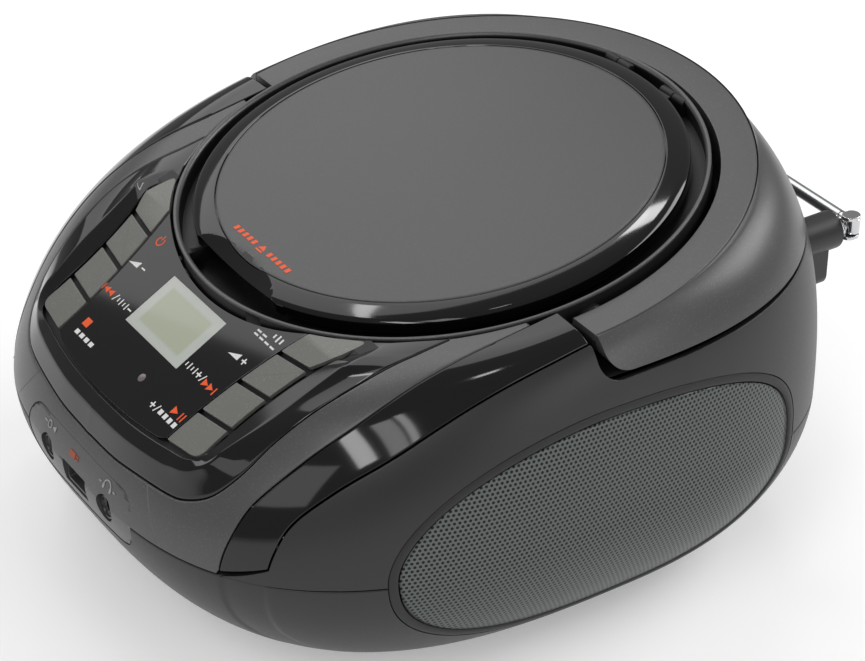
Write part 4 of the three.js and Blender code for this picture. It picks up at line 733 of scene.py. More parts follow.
def control_frame():
    outer, fold, inner = whole(frame_outer), whole(frame_fold), whole(frame_inner)
    outer_z = points_at(from_plan(outer))[:, 2]
    fold_z, inner_z = (np.minimum(panel_height(y), ring_height(y)) for y in (fold[:, 1], inner[:, 1]))
    off_ring = np.hypot(fold[:, 0], fold[:, 1] - DECK_Y) - RING_RADIUS
    fold_z = fold_z + FOLD_RISE * np.clip(off_ring / FOLD_FADE, 0, 1)
    fold_z = np.minimum(fold_z, (outer_z + inner_z) / 2 + FOLD_LIMIT)
    outer, fold, inner = (
        np.column_stack(pair) for pair in ((outer, outer_z), (fold, fold_z), (inner, inner_z))
    )

    def from_fold(far):
        reach = np.minimum(FOLD_ARM, 0.4 * np.linalg.norm(far - fold, axis=1))
        return fold + unit(far - fold) * reach[:, None]

    start, end = from_fold(outer), from_fold(inner)
    rows = [outer + (start - outer) * t for t in np.linspace(0, 1, 10)[:-1]]
    rows += [bend(start, fold, end, t) for t in np.linspace(0, 1, 7)]
    rows += [end + (inner - end) * t for t in np.linspace(0, 1, 10)[1:]]
    grid = np.array(rows)
    drop = np.broadcast_to(np.array([0, -math.sin(PANEL_TILT), math.cos(PANEL_TILT)]), grid.shape)
    return walled(sheet("control_frame_skin", rolled(grid, drop, 0.5, 3.4)[0]))


fitted(control_frame(), "cabinet", gloss_plastic, "gloss", "control_frame")


# Front cover: from the parting line up round the frame, ending in two thin tips
COVER_RADIUS, COVER_REAR, COVER_SPLIT = RING_RADIUS + 0.4, -10.5, -40.0
COVER_CORNER, COVER_MIDDLE = 0.62, 62
SOCKETS = (0, 49.4, 32.7, 9.2, 8)


def cover_outer_rail():
    """The rail along the gloss band and the parting line."""
    edge = line_ahead(band_inner, SEAM, COVER_REAR)[::-1]
    places = from_plan(edge)
    rear = edge[:, 1] > COVER_SPLIT
    angle = np.linspace(places[-1, 0], -math.pi / 2, 90)
    parting = np.stack([angle, above_parting(angle)], -1)
    return chained(resampled(places[rear], 60), resampled(places[~rear], 120), parting)


def cover_inner_rail():
    """The rail along the ring and the control frame, with as many points as the outer one."""
    edge = offset_line(frame_outer, 2 * SEAM)
    tip_angle = math.atan2((edge[0, 1] - DECK_Y) / math.cos(DECK_TILT), edge[0, 0])
    end_angle = math.asin((COVER_REAR - DECK_Y) / math.cos(DECK_TILT) / COVER_RADIUS)
    ring = from_plan(deck_circle(COVER_RADIUS, end_angle, tip_angle, 60))
    places = from_plan(edge)
    corner = int(COVER_CORNER * len(edge))
    return chained(ring, resampled(places[:corner], 120), resampled(places[corner:], 90))


def socket_panel_tool(grow, y0=-122, y1=-92):
    x, z, half_x, half_z, corner = SOCKETS
    return upright(rounded_box(x, z, half_x + grow, half_z + grow, corner + grow, 16), "tool", y0, y1)


def front_cover():
    """Three sections that meet edge to edge, with the socket opening cut out of the middle one."""
    outer, inner = both_sides(cover_outer_rail(), -math.pi), both_sides(cover_inner_rail(), -math.pi)
    first, last = len(outer) // 2 - COVER_MIDDLE, len(outer) // 2 + COVER_MIDDLE
    left, middle, right = (
        skin("front_cover_skin", outer[span], inner[span], rows=12, radius=0.6, depth=1.0, wall=0.3)
        for span in (slice(0, first + 1), slice(first, last + 1), slice(last, None))
    )
    cut_away(middle, socket_panel_tool(SEAM / 2))
    return joined("front_cover_skin", middle, left, right)


fitted(front_cover(), "cabinet", cover_paint, "charcoal", "front_cover")


# Speaker grilles: oval frame and perforated sheet on each side
GRILLE_Y, GRILLE_Z, GRILLE_LONG, GRILLE_HIGH = 3.0, 51.5, 67.0, 35.0
OVAL_FRONT_ABOVE, OVAL_FRONT_BELOW, OVAL_REAR = 1.87, 2.15, 2.5
GRILLE_RIM = [
    (2.85, -2.4), (2.85, -0.35), (2.75, -0.1), (2.5, 0.0), (2.0, 0.1), (1.2, 0.1), (0.7, 0.0),
    (0.35, -0.2), (0.2, -0.6), (0.2, -3.0), (2.85, -2.4),
]
HOLE_PITCH, HOLE_RADIUS, HOLE_EDGE = 1.5, 0.4, 0.5


def oval(angle, grow, reach=1.0):
    """Points on the grille's oval, or inside it at a smaller reach. It is fuller at the rear."""
    cosine, sine = np.cos(angle), np.sin(angle)
    power = np.where(cosine < 0, np.where(sine > 0, OVAL_FRONT_ABOVE, OVAL_FRONT_BELOW), OVAL_REAR)
    return np.stack([
        GRILLE_Y + reach * (GRILLE_LONG + grow) * np.abs(cosine) ** (2 / power) * np.sign(cosine),
        GRILLE_Z + reach * (GRILLE_HIGH + grow) * np.abs(sine) ** (2 / power) * np.sign(sine),
    ], -1)


def grille_oval(grow, count=160):
    return oval(np.linspace(0, 2 * math.pi, count + 1), grow)


def on_side(outline, side, lift):
    places = from_side(outline, side)
    return points_at(places) + normals_at(places) * lift


def grille_frame(tag, side):
    rows = [on_side(grille_oval(grow), side, lift) for grow, lift in GRILLE_RIM]
    return sheet(f"grille_frame_skin_{tag}", np.array(rows), closed=True, smooth=50)


def grille_sheet(tag, side):
    """A sheet in the oval, laid out on a square grid so that it has no pole."""
    across, up = np.meshgrid(np.linspace(-1, 1, 71), np.linspace(-1, 1, 51))
    u = across * np.sqrt(1 - up**2 / 2)
    v = up * np.sqrt(1 - across**2 / 2)
    outline = oval(np.arctan2(v, u), -0.1, np.hypot(u, v))
    points = on_side(outline.reshape(-1, 2), side, -0.5)
    return walled(sheet(f"grille_sheet_{tag}", points.reshape(*u.shape, 3), smooth=60), 0.5)


def perforated_metal():
    """Painted sheet with small round holes in staggered rows, laid out as seen from the side; the holes are
    painted near black, as painted shade for the dark inside seen through them.
    """
    material = finish("Perforated painted metal", (0.36, 0.38, 0.375), 0.38, bump=0, metallic=0.5)
    tree = material.node_tree
    shader = tree.nodes["Principled BSDF"]
    split = new_node(tree, "SeparateXYZ", {0: new_node(tree, "TexCoord").outputs["Object"]})
    pitch = HOLE_PITCH * MM

    def dots(shift):
        """Distance from the nearest hole of one of the two sets of rows."""
        squares = []
        for axis, size in ((1, pitch), (2, pitch * math.sqrt(3))):
            cell = maths(tree, "ADD", maths(tree, "DIVIDE", split.outputs[axis], size), shift)
            off = maths(tree, "SUBTRACT", maths(tree, "FRACT", maths(tree, "ADD", cell, 100)), 0.5)
            off = maths(tree, "MULTIPLY", off, size)
            squares.append(maths(tree, "MULTIPLY", off, off))
        return maths(tree, "SQRT", maths(tree, "ADD", *squares))

    edge = new_node(tree, "MapRange", {
        "Value": maths(tree, "MINIMUM", dots(0.0), dots(0.5)),
        "From Min": HOLE_RADIUS * MM,
        "From Max": HOLE_EDGE * MM,
    }).outputs["Result"]
    paint = shader.inputs["Base Color"].links[0].from_socket
    # Painted shade: the holes are coloured near black for the shaded inside seen through them
    tree.links.new(mixed(tree, edge, (0.0015, 0.0015, 0.0015, 1), paint), shader.inputs["Base Color"])
    bumped(tree, shader, edge, 0.5, 0.2)
    return material


perforated = perforated_metal()
for tag, side in (("l", -1), ("r", 1)):
    fitted(grille_frame(tag, side), "cabinet", dark_plastic, "matte", f"grille_frame_{tag}")
    fitted(grille_sheet(tag, side), "cabinet", perforated, "grille", f"grille_{tag}")


# Cabinet skins with the speaker openings cut out of them
GAP_Z, GAP_CURVE = 96.2, 0.00063
NOTCH_Y, NOTCH_CORNER = -1.0, 6.5
SWIVEL_X, SWIVEL_Z = 59.3, 88
STEP_EDGES, STEP_WIDTH, STEP_DEPTH = ((66.0, 3.4), (77.0, 4.2)), 0.25, 0.45


def gap_height(y):
    """Height of the upper cabinet's edge under the handle."""
    return GAP_Z + GAP_CURVE * y**2


def grille_tools():
    outline = grille_oval(3.0, 96)[:-1]
    return [sideways(outline, "tool", x0, x0 + 60) for x0 in (-120, 60)]


def under_lip():
    """The edge that passes under the gloss band's lip, from the parting line up."""
    places = from_plan(line_ahead(band_inner, -SEAM, BAND_REAR))
    points = points_at(places)
    strip = places[points[:, 2] < lip_height(points[:, 0]) - LIP_GAP]
    if len(strip) < 2:
        strip = np.array([places[0], places[0] + (0, 0.004)])
    strip[0, 1] = above_parting(strip[0, 0])
    return strip


def notch_edge(start_z):
    """The edge that falls into the notch for the handle, rounds its corner and runs back along the gap."""
    corner_y = NOTCH_Y + NOTCH_CORNER
    corner_z = gap_height(corner_y) + NOTCH_CORNER
    wall = np.stack([np.full(14, NOTCH_Y), np.linspace(start_z, corner_z, 14)], -1)
    turn = np.linspace(math.pi, 1.5 * math.pi, 12)
    rounding = np.array([corner_y, corner_z]) + NOTCH_CORNER * np.stack([np.cos(turn), np.sin(turn)], -1)
    side_places = from_side(np.vstack([wall, rounding]))
    angles = np.linspace(0.12, math.pi / 2, 90)
    gap_line = np.stack([angles, shares_at_height(angles, gap_height, 0.75, 25)], -1)
    gap_line = gap_line[angles > side_places[-1, 0] + 0.01]
    return chained(side_places, gap_line)


def antenna_boss():
    """The bored boss that holds the antenna's swivel, and the lug below it."""
    boss = rod("boss", 6, 0, 26, lying("Y", (SWIVEL_X, 90.6, SWIVEL_Z)), 0.8, 64)
    cut_away(boss, rod("bore", 2.3, 0, 9, lying("Y", (SWIVEL_X, 110, SWIVEL_Z)), 0, 32))
    return boss, upright(rounded_box(SWIVEL_X, 79.5, 4.5, 8.5, 4.2), "lug", 90.6, 112.0)


def upper_skin():
    strip = under_lip()
    outer = above_lip(line_ahead(band_outer, -SEAM, BAND_REAR + 0.4), -LIP_GAP)
    notch = notch_edge(cabinet(*outer[-1])[2])
    top = chained(
        resampled(strip, 6), resampled(np.vstack([strip[-1], outer[0]]), 14), resampled(outer, 90), notch,
    )
    top = np.vstack([top, [math.pi / 2, notch[-1, 1]]])
    low_angle = np.maximum.accumulate(top[:, 0])
    low = np.stack([low_angle, above_parting(low_angle)], -1)
    piece = skin("upper_cabinet_skin", both_sides(low), both_sides(top), rows=44, radius=0.45)
    cut_away(piece, *grille_tools())
    return joined("upper_cabinet_skin", piece, *antenna_boss())


def lower_steps(points):
    """Shallow steps that carry the gloss bands' edges on down the lower cabinet."""
    x, y, z = points[..., 0], points[..., 1], points[..., 2]
    depth = np.clip((PARTING - z) / 22, 0, 1)
    inside, outside = (
        1 / (1 + np.exp(-(np.abs(x) - (edge - lean * depth)) / STEP_WIDTH)) for edge, lean in STEP_EDGES
    )
    front = np.where(y < 0, 1.0, 0.0)
    fade = np.clip((z - 12) / 14, 0, 1)
    return -STEP_DEPTH * (inside - outside) * front * fade


INLET_X, INLET_Z, INLET_PINS = -38, 34, (-42.3, -33.7)


def inlet_tool(grow):
    outline = rounded_box(INLET_X, INLET_Z, 10.5 + grow, 7 + grow, 6.7 + grow)
    return upright(outline, "tool", 92.3, 125)


def lower_skin():
    """The bowl, with a flat floor drawn in to its middle and openings for the door, sockets and inlet."""
    fine = np.radians(np.concatenate([np.arange(-64, -44, 0.25), np.linspace(-44, 90, 90)]))
    half = np.concatenate([np.radians(np.arange(-90, -64, 1.0)), fine])
    angles = np.concatenate([half, math.pi - half[::-1][1:]])
    shares = np.concatenate([np.linspace(BELOW_PARTING, -0.9, 44), np.linspace(-0.92, -1.0, 5)])
    places = np.stack(np.meshgrid(angles, shares), -1)
    points, normals = points_at(places), normals_at(places)
    points = points + normals * lower_steps(points)[..., None]
    floor = [points[-1] * (1 - t) + np.array([0, 5.0, 3.0]) * t for t in np.linspace(0, 1, 14)[1:]]
    downwards = np.broadcast_to([0, 0, -1.0], (len(floor), len(angles), 3))
    points, normals = np.vstack([points, np.array(floor)]), np.vstack([normals, downwards])
    piece = walled(sheet("lower_cabinet_skin", rolled(points, normals, 0.45, EDGE_DEPTH, True, False)[0]))
    door = outline_plate("tool", rounded_box(0, 5, 44.3, 54.3, 1.5), -10, 10)
    return cut_away(piece, *grille_tools(), socket_panel_tool(SEAM / 2), inlet_tool(SEAM), door)


fitted(upper_skin(), "cabinet", matte_plastic, "matte", "upper_cabinet")
fitted(lower_skin(), "cabinet", matte_plastic, "matte", "lower_cabinet")


# Deck: ring, finger gap, disc well and hinge ears
def hinge_barrel(name, x0, x1):
    """A barrel on the lid's hinge line between two x."""
    place = deck_frame @ lying("X", ((x0 + x1) / 2, HINGE_V, HINGE_W))
    return rod(name, 1.7, (x0 - x1) / 2, (x1 - x0) / 2, place)


def deck_piece():
    profile = softened([
        (15, -13.5), (63, -13.5), (63, -6.5), (79.3, -6.5), (79.3, -1.8), (79.8, -1.1), (81, -1.1),
        (81, -24), (79.3, -24), (79.3, -8.5), (65, -8.5), (65, -15.5), (15, -15.5),
    ], 0.35)
    tub = turned("deck_skin", profile, 192, deck_frame)
    recess_wall = slab("recess_wall", (-26, -79.8, -13.5), (26, -64, -6.8), deck_frame, 0)
    recess = slab("recess", (-24, -78.9, -11.5), (24, -66, 20), deck_frame, 0)
    slot = slab("slot", (-9, -60, -20), (9, -10, 0), deck_frame, 0)
    cut_away(tub, recess_wall, operation="UNION")
    cut_away(tub, recess, slot)
    ears = []
    for side in (-1, 1):
        x0, x1 = sorted((side * 14.3, side * 20))
        ears.append(hinge_barrel("ear", x0, x1))
        ears.append(slab("stand", (x0, 75.6, -6.8), (x1, 78.8, HINGE_W), deck_frame, 0.2))
        outwards = Matrix.Rotation(side * math.pi / 2, 4, "Y")
        pivot = Matrix.Translation((side * 80.4, 9.5, 103.5)) @ outwards
        ears.append(rod("pivot_boss", 4.4, 0, 2.2, pivot, 0.5, 48))
    return joined("deck_skin", tub, *ears)


def ring_cap():
    """The painted top of the ring, with its inner edge rounded towards the gap."""
    return turned("ring_cap", softened([
        (79.3, -1.8), (79.4, -1.3), (80.0, -0.7), (80.8, -0.6), (81, -0.8), (81, -1.6), (80.2, -1.6),
    ], 0.25), 256, deck_frame)


fitted(deck_piece(), "cabinet", well_plastic, "charcoal", "deck")
fitted(ring_cap(), "cabinet", cover_paint, "charcoal")


# Lid: polished rim with finger notch, and the painted disc
NOTCH_V, NOTCH_FOOT_V, NOTCH_DEPTH = 71.4, 66, 1.2


def notch_tools():
    """A cut across the lid's front, and a hollow behind it that rises to the lid's top."""
    chord = slab("chord", (-60, -140, -60), (60, -NOTCH_V, 60), deck_frame, 0)
    fall = math.atan2(2 + NOTCH_DEPTH, NOTCH_V - NOTCH_FOOT_V)
    place = deck_frame @ Matrix.Translation((0, -NOTCH_V, -NOTCH_DEPTH)) @ Matrix.Rotation(fall, 4, "X")
    scoop = [(share * 22, 1.5 * share * share) for share in np.linspace(-1, 1, 33)] + [(22, 60), (-22, 60)]
    hollow = outline_plate("hollow", scoop, -60, 60, place @ Matrix.Rotation(math.pi / 2, 4, "X"))
    return chord, hollow


def lid_rim():
    profile = [
        (0, 0.7), (67.9, 0.7), (67.9, 1.78), (68.0, 1.88), (68.3, 1.9), (69.2, 1.8), (71.5, 1.4),
        (73.6, 0.85), (74.4, 0.45), (74.85, 0.0), (75, -0.5), (75, -3.2), (74.8, -3.4), (73.2, -3.4),
        (73, -3.2), (73, -1.3), (0, -1.3),
    ]
    return cut_away(turned("lid_rim_skin", profile, 256, deck_frame, 25), *notch_tools())


def lid_arms():
    """Two short arms and barrels that hang the lid on its pins."""
    parts = []
    for side in (-1, 1):
        x0, x1 = sorted((side * 8, side * 14))
        parts.append(hinge_barrel("barrel", x0, x1))
        parts.append(slab("arm", (x0, 71, -3.4), (x1, HINGE_V, -1.75), deck_frame, 0.3))
    return joined("lid_arms", *parts)


def lid_top():
    profile = [(0, 1.0), (67.5, 1.0), (67.6, 1.1), (67.6, 1.8), (67.3, 2.02)]
    profile += [(67.6 * share, 2.6 - 0.58 * share**2) for share in np.linspace(0.985, 0, 24)]
    return cut_away(turned("lid_top_skin", profile, 256, deck_frame, 40), *notch_tools())


fitted(lid_rim(), "lid", gloss_plastic, "gloss", "lid_rim")
fitted(lid_arms(), "lid", well_plastic, "gloss")
fitted(lid_top(), "lid", lid_paint, "charcoal", "lid_top")


# Carry handle: a flat inner strip and a rounded outer shell that share a seam
HANDLE_END, HANDLE_DROP, HANDLE_CORNER, HANDLE_GAP = 1.8, 3.1, 7.0, 1.85
HANDLE_INNER, HANDLE_SEAM, HANDLE_FOOT = 83.5, 94.35, -6.0
SHELL_INNER, SHELL_OUTER, SHELL_FADE = 94.65, 95.2, 0.4
deck_sine, deck_cosine = math.sin(DECK_TILT), math.cos(DECK_TILT)


def deck_point(radius, angle, w):
    x = radius * np.cos(angle)
    v = radius * np.sin(angle)
    return np.stack([
        x, DECK_Y + v * deck_cosine - w * deck_sine, DECK_Z + v * deck_sine + w * deck_cosine,
    ], -1)


def start_angle(radius, y, w):
    """Angle at which a circle round the lid's axis reaches the handle's end plane."""
    return math.asin((y - DECK_Y + w * deck_sine) / deck_cosine / radius)


def handle_low(y):
    """Height of the handle's lower edge, with its rounded front corner."""
    base = gap_height(y) + HANDLE_GAP
    reach = np.clip((HANDLE_CORNER - (y - HANDLE_END)) / HANDLE_CORNER, 0, 1)
    return base + HANDLE_CORNER * (1 - np.sqrt(1 - reach**2))


def ring_row(radius, w, count=161):
    start = start_angle(radius, HANDLE_END, w)
    return deck_point(radius, np.linspace(start, math.pi - start, count), w)


def end_closed(grid):
    """Rows whose ends are drawn in to their middles, so that the sheet is closed there."""
    caps = [np.repeat(grid[:, k].mean(axis=0)[None], len(grid), 0)[:, None] for k in (0, -1)]
    return np.concatenate([caps[0], grid, caps[1]], axis=1)


def handle_strip():
    rows = [ring_row(radius, w) for radius, w in (
        (HANDLE_INNER, HANDLE_FOOT), (HANDLE_INNER, -3.6), (HANDLE_INNER + 0.15, -3.25),
        (HANDLE_INNER + 0.5, -HANDLE_DROP), (89, -HANDLE_DROP), (93.9, -HANDLE_DROP), (94.25, -3.25),
        (HANDLE_SEAM, -3.6), (HANDLE_SEAM, HANDLE_FOOT),
    )]
    for radius in (HANDLE_SEAM, HANDLE_INNER):
        row = ring_row(radius, HANDLE_FOOT)
        row[:, 1] += (row[:, 2] - handle_low(row[:, 1])) * math.tan(DECK_TILT)
        row[:, 1] = np.maximum(row[:, 1], HANDLE_END)
        row[:, 2] = handle_low(row[:, 1])
        rows.append(row)
    rows.append(rows[0])
    return soft_edged(sheet("handle_strip_skin", end_closed(np.array(rows)), closed=True, smooth=40))


def shell_angles():
    """Stations along the shell, closer set round its front corners."""
    corner_y = HANDLE_END + HANDLE_CORNER * (1 - np.cos(np.linspace(0, math.pi / 2, 16)))
    near = np.array([start_angle(SHELL_OUTER, y, -HANDLE_DROP) for y in corner_y])
    between = np.linspace(near[-1], math.pi - near[-1], 170)[1:-1]
    return np.concatenate([near, between, math.pi - near[::-1]])


def shell_low(angles, top, low_z):
    """Places of the shell's lower edge, drawn forward at its two ends."""
    front_low = from_side([(HANDLE_END, low_z[0])])[0, 0] - top[0, 0]
    from_right, from_left = angles - angles[0], math.pi - angles[0] - angles
    right, left = (np.clip(1 - off / SHELL_FADE, 0, 1) for off in (from_right, from_left))
    low_angle = top[:, 0] + front_low * (right - left)
    return np.stack([low_angle, shares_at_height(low_angle, lambda y: low_z, 0.7, 40, 0.7, 0.2, 0.999)], -1)


def handle_shell():
    """The outer shell, in which each station drops from the seam to the lower edge."""
    angles = shell_angles()
    seam = deck_point(SHELL_OUTER, angles, -HANDLE_DROP)
    top, low_z = from_plan(seam[:, :2]), handle_low(seam[:, 1])
    low = shell_low(angles, top, low_z)
    normal = np.array([0, -deck_sine, deck_cosine])
    rows = []
    for share in np.linspace(0, 1, 26):
        points = points_at(top * (1 - share) + low * share)
        above = np.maximum((points - np.array([0, DECK_Y, DECK_Z])) @ normal + HANDLE_DROP, 0)
        rows.append(points - above[:, None] * normal)
    outer = np.array(rows)
    outer[:, :, 1] = np.maximum(outer[:, :, 1], HANDLE_END)
    inner_start = start_angle(SHELL_INNER, HANDLE_END, -HANDLE_DROP)
    inner_angles = np.interp(angles, (angles[0], angles[-1]), (inner_start, math.pi - inner_start))
    inner_top = deck_point(SHELL_INNER, inner_angles, -HANDLE_DROP)
    inner_low = inner_top.copy()
    inner_low[:, 2] = low_z
    grid = np.vstack([
        [inner_low], [inner_low * 0.5 + inner_top * 0.5], [inner_top - normal * 0.5], [inner_top], outer,
        [outer[-1] * 0.92 + inner_low * 0.08], [inner_low],
    ])
    return soft_edged(sheet("handle_shell_skin", end_closed(grid), closed=True, smooth=40))


fitted(handle_strip(), "handle", cover_paint, "charcoal", "handle_strip")
fitted(handle_shell(), "handle", cover_paint, "charcoal", "handle_shell")


# Trough under the handle, and the walls at its two ends
def trough():
    angles = np.linspace(-0.12, math.pi + 0.12, 200)
    inner = deck_point(RING_RADIUS + 0.3, angles, -14.0)
    outer = cabinet(angles, 0.8)
    for row in (inner, outer):
        row[:, 2] = gap_height(row[:, 1]) - 1.7
    edge = points_at(from_plan(outer[:, :2]))
    directions = unit(np.column_stack([edge[:, 0], edge[:, 1] - CENTRE_Y]))
    outer[:, :2] = outer[:, :2] + directions * 2.0
    grid = np.array([inner * (1 - t) + outer * t for t in np.linspace(0, 1, 8)])
    grid[..., 1] = np.maximum(grid[..., 1], NOTCH_Y)
    return walled(sheet("handle_trough", grid, towards=lambda place: Vector((0, 0, 1))))


fitted(trough(), "cabinet", dark_plastic, "matte")


# Socket panel, its two jacks and the flat socket between them
JACK_PLACES = {"aux": -18.3, "phones": 18.3}
JACK_HEIGHT, USB_HEIGHT, JACK_MOUTH = 48.5, 47.4, -113.2


def cabinet_form():
    """The whole closed cabinet, used to shape blocks that end in its surface."""
    angles = np.radians(np.arange(0, 361, 1.5))
    shares = np.concatenate([
        np.linspace(-1, -0.02, 50), np.linspace(-0.015, 0.015, 7), np.linspace(0.02, 1, 50),
    ])
    grid = cabinet(*np.meshgrid(angles, shares))
    poles = (0, 5, 3), (0, DECK_Y, ring_height(DECK_Y))
    low, high = (np.broadcast_to(pole, (1, len(angles), 3)) for pole in poles)
    return sheet("tool", np.concatenate([low, grid, high]), closed=True)


def socket_panel():
    panel = renamed(socket_panel_tool(-SEAM, -122, -104), "socket_panel_skin")
    places = [lying("Y", (x, -130, JACK_HEIGHT)) for x in JACK_PLACES.values()]
    tools = [rod("tool", 4.3, 0, 40, place, 0.1, 64) for place in places]
    tools.append(upright(rounded_box(0, USB_HEIGHT, 7.2, 3.7, 0.5), "tool", -130, -90))
    cut_away(panel, cabinet_form(), operation="INTERSECT")
    cut_away(panel, *tools)
    panel.data.transform(Matrix.Translation((0, 0.16 * MM, 0)))
    return panel


def jack(name, x):
    """A socket barrel with a raised collar and a chamfered bore."""
    profile = [
        (1.85, 11.4), (1.85, 0.9), (2.3, 0.45), (2.9, 0.4), (3.05, 0.0), (3.6, 0.0), (3.75, 0.5), (4.0, 0.6),
        (4.0, 13), (0, 13), (0, 11.4),
    ]
    return turned(name, profile, 64, lying("Y", (x, JACK_MOUTH, JACK_HEIGHT)))


def flat_socket():
    """A folded sheet-metal shell with its pale tongue and four contacts."""
    shell = upright(rounded_box(0, USB_HEIGHT, 6.9, 3.4, 0.8), "usb_socket_skin", JACK_MOUTH, -99.2)
    cut_away(shell, upright(rounded_box(0, USB_HEIGHT, 6.3, 2.8, 0.5), "tool", -120, -99.8))
    tongue = slab("usb_tongue", (-5.7, -111.6, 48.0), (5.7, -99.9, 49.6), bevel=0.15)
    contacts = [
        slab("contact", (x - 0.5, -111.2, 47.9), (x + 0.5, -103, 48.02), bevel=0.03)
        for x in (-3.5, -1, 1, 3.5)
    ]
    return shell, tongue, joined("usb_contacts", *contacts)


fitted(socket_panel(), "cabinet", cover_paint, "charcoal", "jack_panel")
for tag, x in JACK_PLACES.items():
    fitted(jack(f"{tag}_jack_skin", x), "cabinet", socket_black, "rubber", f"{tag}_jack")
usb_shell, usb_tongue, usb_contacts = flat_socket()
fitted(usb_shell, "cabinet", steel, "metal", "usb_socket")
fitted(usb_tongue, "cabinet", pale_plastic, "lcd")
fitted(usb_contacts, "cabinet", chrome, "metal")


# Mains inlet at the rear, with a figure-of-eight well and two pins
def mains_inlet():
    body = renamed(inlet_tool(0.0), "mains_inlet_skin")
    cut_away(body, cabinet_form(), operation="INTERSECT")
    wells = [rod("tool", 3.6, 0, 40, lying("Y", (x, 100.8, INLET_Z)), 0, 48) for x in INLET_PINS]
    waist = slab("tool", (INLET_PINS[0], 100.8, 31.1), (INLET_PINS[1], 140, 36.9), bevel=0)
    return cut_away(body, *wells, waist)


def inlet_pins():
    pins = [rod("pin", 1.1, 0, 11, lying("Y", (x, 98.8, INLET_Z)), 0.5, 32) for x in INLET_PINS]
    return joined("inlet_pins", *pins)


fitted(mains_inlet(), "cabinet", socket_black, "matte", "mains_inlet")
fitted(inlet_pins(), "cabinet", chrome, "metal")


# Battery door with its finger ridges
def battery_door():
    face_down = Matrix.Rotation(math.pi, 4, "X") @ Matrix.Translation((0, -10, 0))
    door = outline_plate("battery_door_skin", rounded_box(0, 5, 44, 54, 1.2), -4.4, -3.0, face_down, 0.3)
    ridges = [
        slab("ridge", (-9 + 0.6 * k, -41 + 2.2 * k, 2.75), (9 - 0.6 * k, -40 + 2.2 * k, 3.2), bevel=0.2)
        for k in range(6)
    ]
    return joined("battery_door_skin", door, *ridges)


fitted(battery_door(), "battery_lid", matte_plastic, "matte", "battery_door")


# Keys: the rows share two bowed edges, and the top one is cut off by the ring
KEY_INNER_X, KEY_OUTER_X = 34.3, 48.3
KEY_FIRST, KEY_LAST, KEY_PITCH, KEY_GAP, KEY_TOP, KEY_SLANT = 0.3, -39.4, 13.45, 1.5, 18.0, 0.14
KEY_LOW, KEY_HIGH, KEY_CORNER, KEY_LONG_CORNER = -0.9, 0.4, 0.5, 3.6
TOP_KEY_CORNER = 9.2
TOP_KEY_ARC = (42.4, 53.0)
TOP_KEY_SIDE = [(55.9, 21.5), (55.9, 16.2), (55.7, 11.4), (55.3, 8.2), (53.6, 5.2), (51.7, 2.1)]


def key_inner(v):
    return KEY_INNER_X + 0.003 * (v - KEY_LAST) ** 2


def key_outer(v):
    return KEY_OUTER_X + 0.0042 * (v + 28) ** 2


def corner_cut(points, radius, steps=6):
    """Rounds each corner of an outline by its own radius; a radius of 0 leaves a point."""
    points = [np.array(point, float) for point in points]
    out = []
    for i, (corner, r) in enumerate(zip(points, radius)):
        if not r:
            out.append(tuple(corner))
            continue
        before, after = points[i - 1], points[(i + 1) % len(points)]
        a, b = corner + unit(before - corner) * r, corner + unit(after - corner) * r
        out += [tuple(bend(a, corner, b, t)) for t in np.linspace(0, 1, steps)]
    return out


def top_key_outline(side):
    """The top key ends along the ring's arc and in a rounded tip."""
    inside = [(key_inner(v), v) for v in np.linspace(KEY_FIRST, TOP_KEY_CORNER, 5)]
    reach = np.linspace(*TOP_KEY_ARC, 12)
    ring_y = DECK_Y - math.cos(DECK_TILT) * np.sqrt((RING_RADIUS + 0.9) ** 2 - reach**2)
    along_ring = list(zip(reach, (ring_y - PANEL_Y) / math.cos(PANEL_TILT)))
    radius = [KEY_CORNER, 0, 0, 0, 0.4] + [0] * len(along_ring) + [KEY_LONG_CORNER, 0, 0, 1.5, 0, KEY_CORNER]
    return [(side * x, v) for x, v in corner_cut(inside + along_ring + TOP_KEY_SIDE, radius)]


def key_outline(row, side):
    """A lower key; the front one has a long outer corner."""
    top = KEY_FIRST - KEY_GAP - (row - 1) * KEY_PITCH
    foot = max(top - KEY_PITCH + KEY_GAP, KEY_LAST)
    inside = [(key_inner(v), v) for v in np.linspace(foot, top, 6)]
    outside_top, outside_foot = (v + KEY_SLANT * (key_outer(v) - key_inner(v)) for v in (top, foot))
    outside = [(key_outer(v), v) for v in np.linspace(outside_top, outside_foot, 6)]
    if row == 3:
        outside.pop(-2)
    last_corner = KEY_LONG_CORNER if row == 3 else KEY_CORNER
    radius = [KEY_CORNER, 0, 0, 0, 0, KEY_CORNER, KEY_CORNER] + [0] * (len(outside) - 2) + [last_corner]
    return [(side * x, v) for x, v in corner_cut(inside + outside, radius)]


def bent_to_ring(cap):
    """Bends what rises past the ring's plane down into it, with a crease across the key."""
    crease_y = (ring_height(0) - panel_height(0)) / (math.tan(PANEL_TILT) - math.tan(DECK_TILT))
    plane = (0, (crease_y - ORIGIN_Y) * MM, 0)
    edited(cap, lambda: bpy.ops.mesh.bisect(plane_co=plane, plane_no=(0, 1, 0)))
    for vertex in cap.data.vertices:
        y = vertex.co.y / MM + ORIGIN_Y
        rise = vertex.co.z / MM - panel_height(y)
        vertex.co.z = min(vertex.co.z, (ring_height(y) + rise) * MM)
    return cap


def key(name, side, row):
    if row:
        return outline_plate(name, key_outline(row, side), KEY_LOW, KEY_HIGH, panel_frame, 0.3)
    cap = bent_to_ring(outline_plate(name, top_key_outline(side), KEY_LOW, KEY_HIGH, panel_frame))
    return soft_edged(cap, 0.3, 3, 30)


for tag, side, hand in (("l", -1, "left"), ("r", 1, "right")):
    for row in range(4):
        cap = key(f"key_cap_{tag}{row + 1}", side, row)
        fitted(cap, f"key_{hand}_{row + 1}", key_plastic, "key", f"key_{tag}{row + 1}")


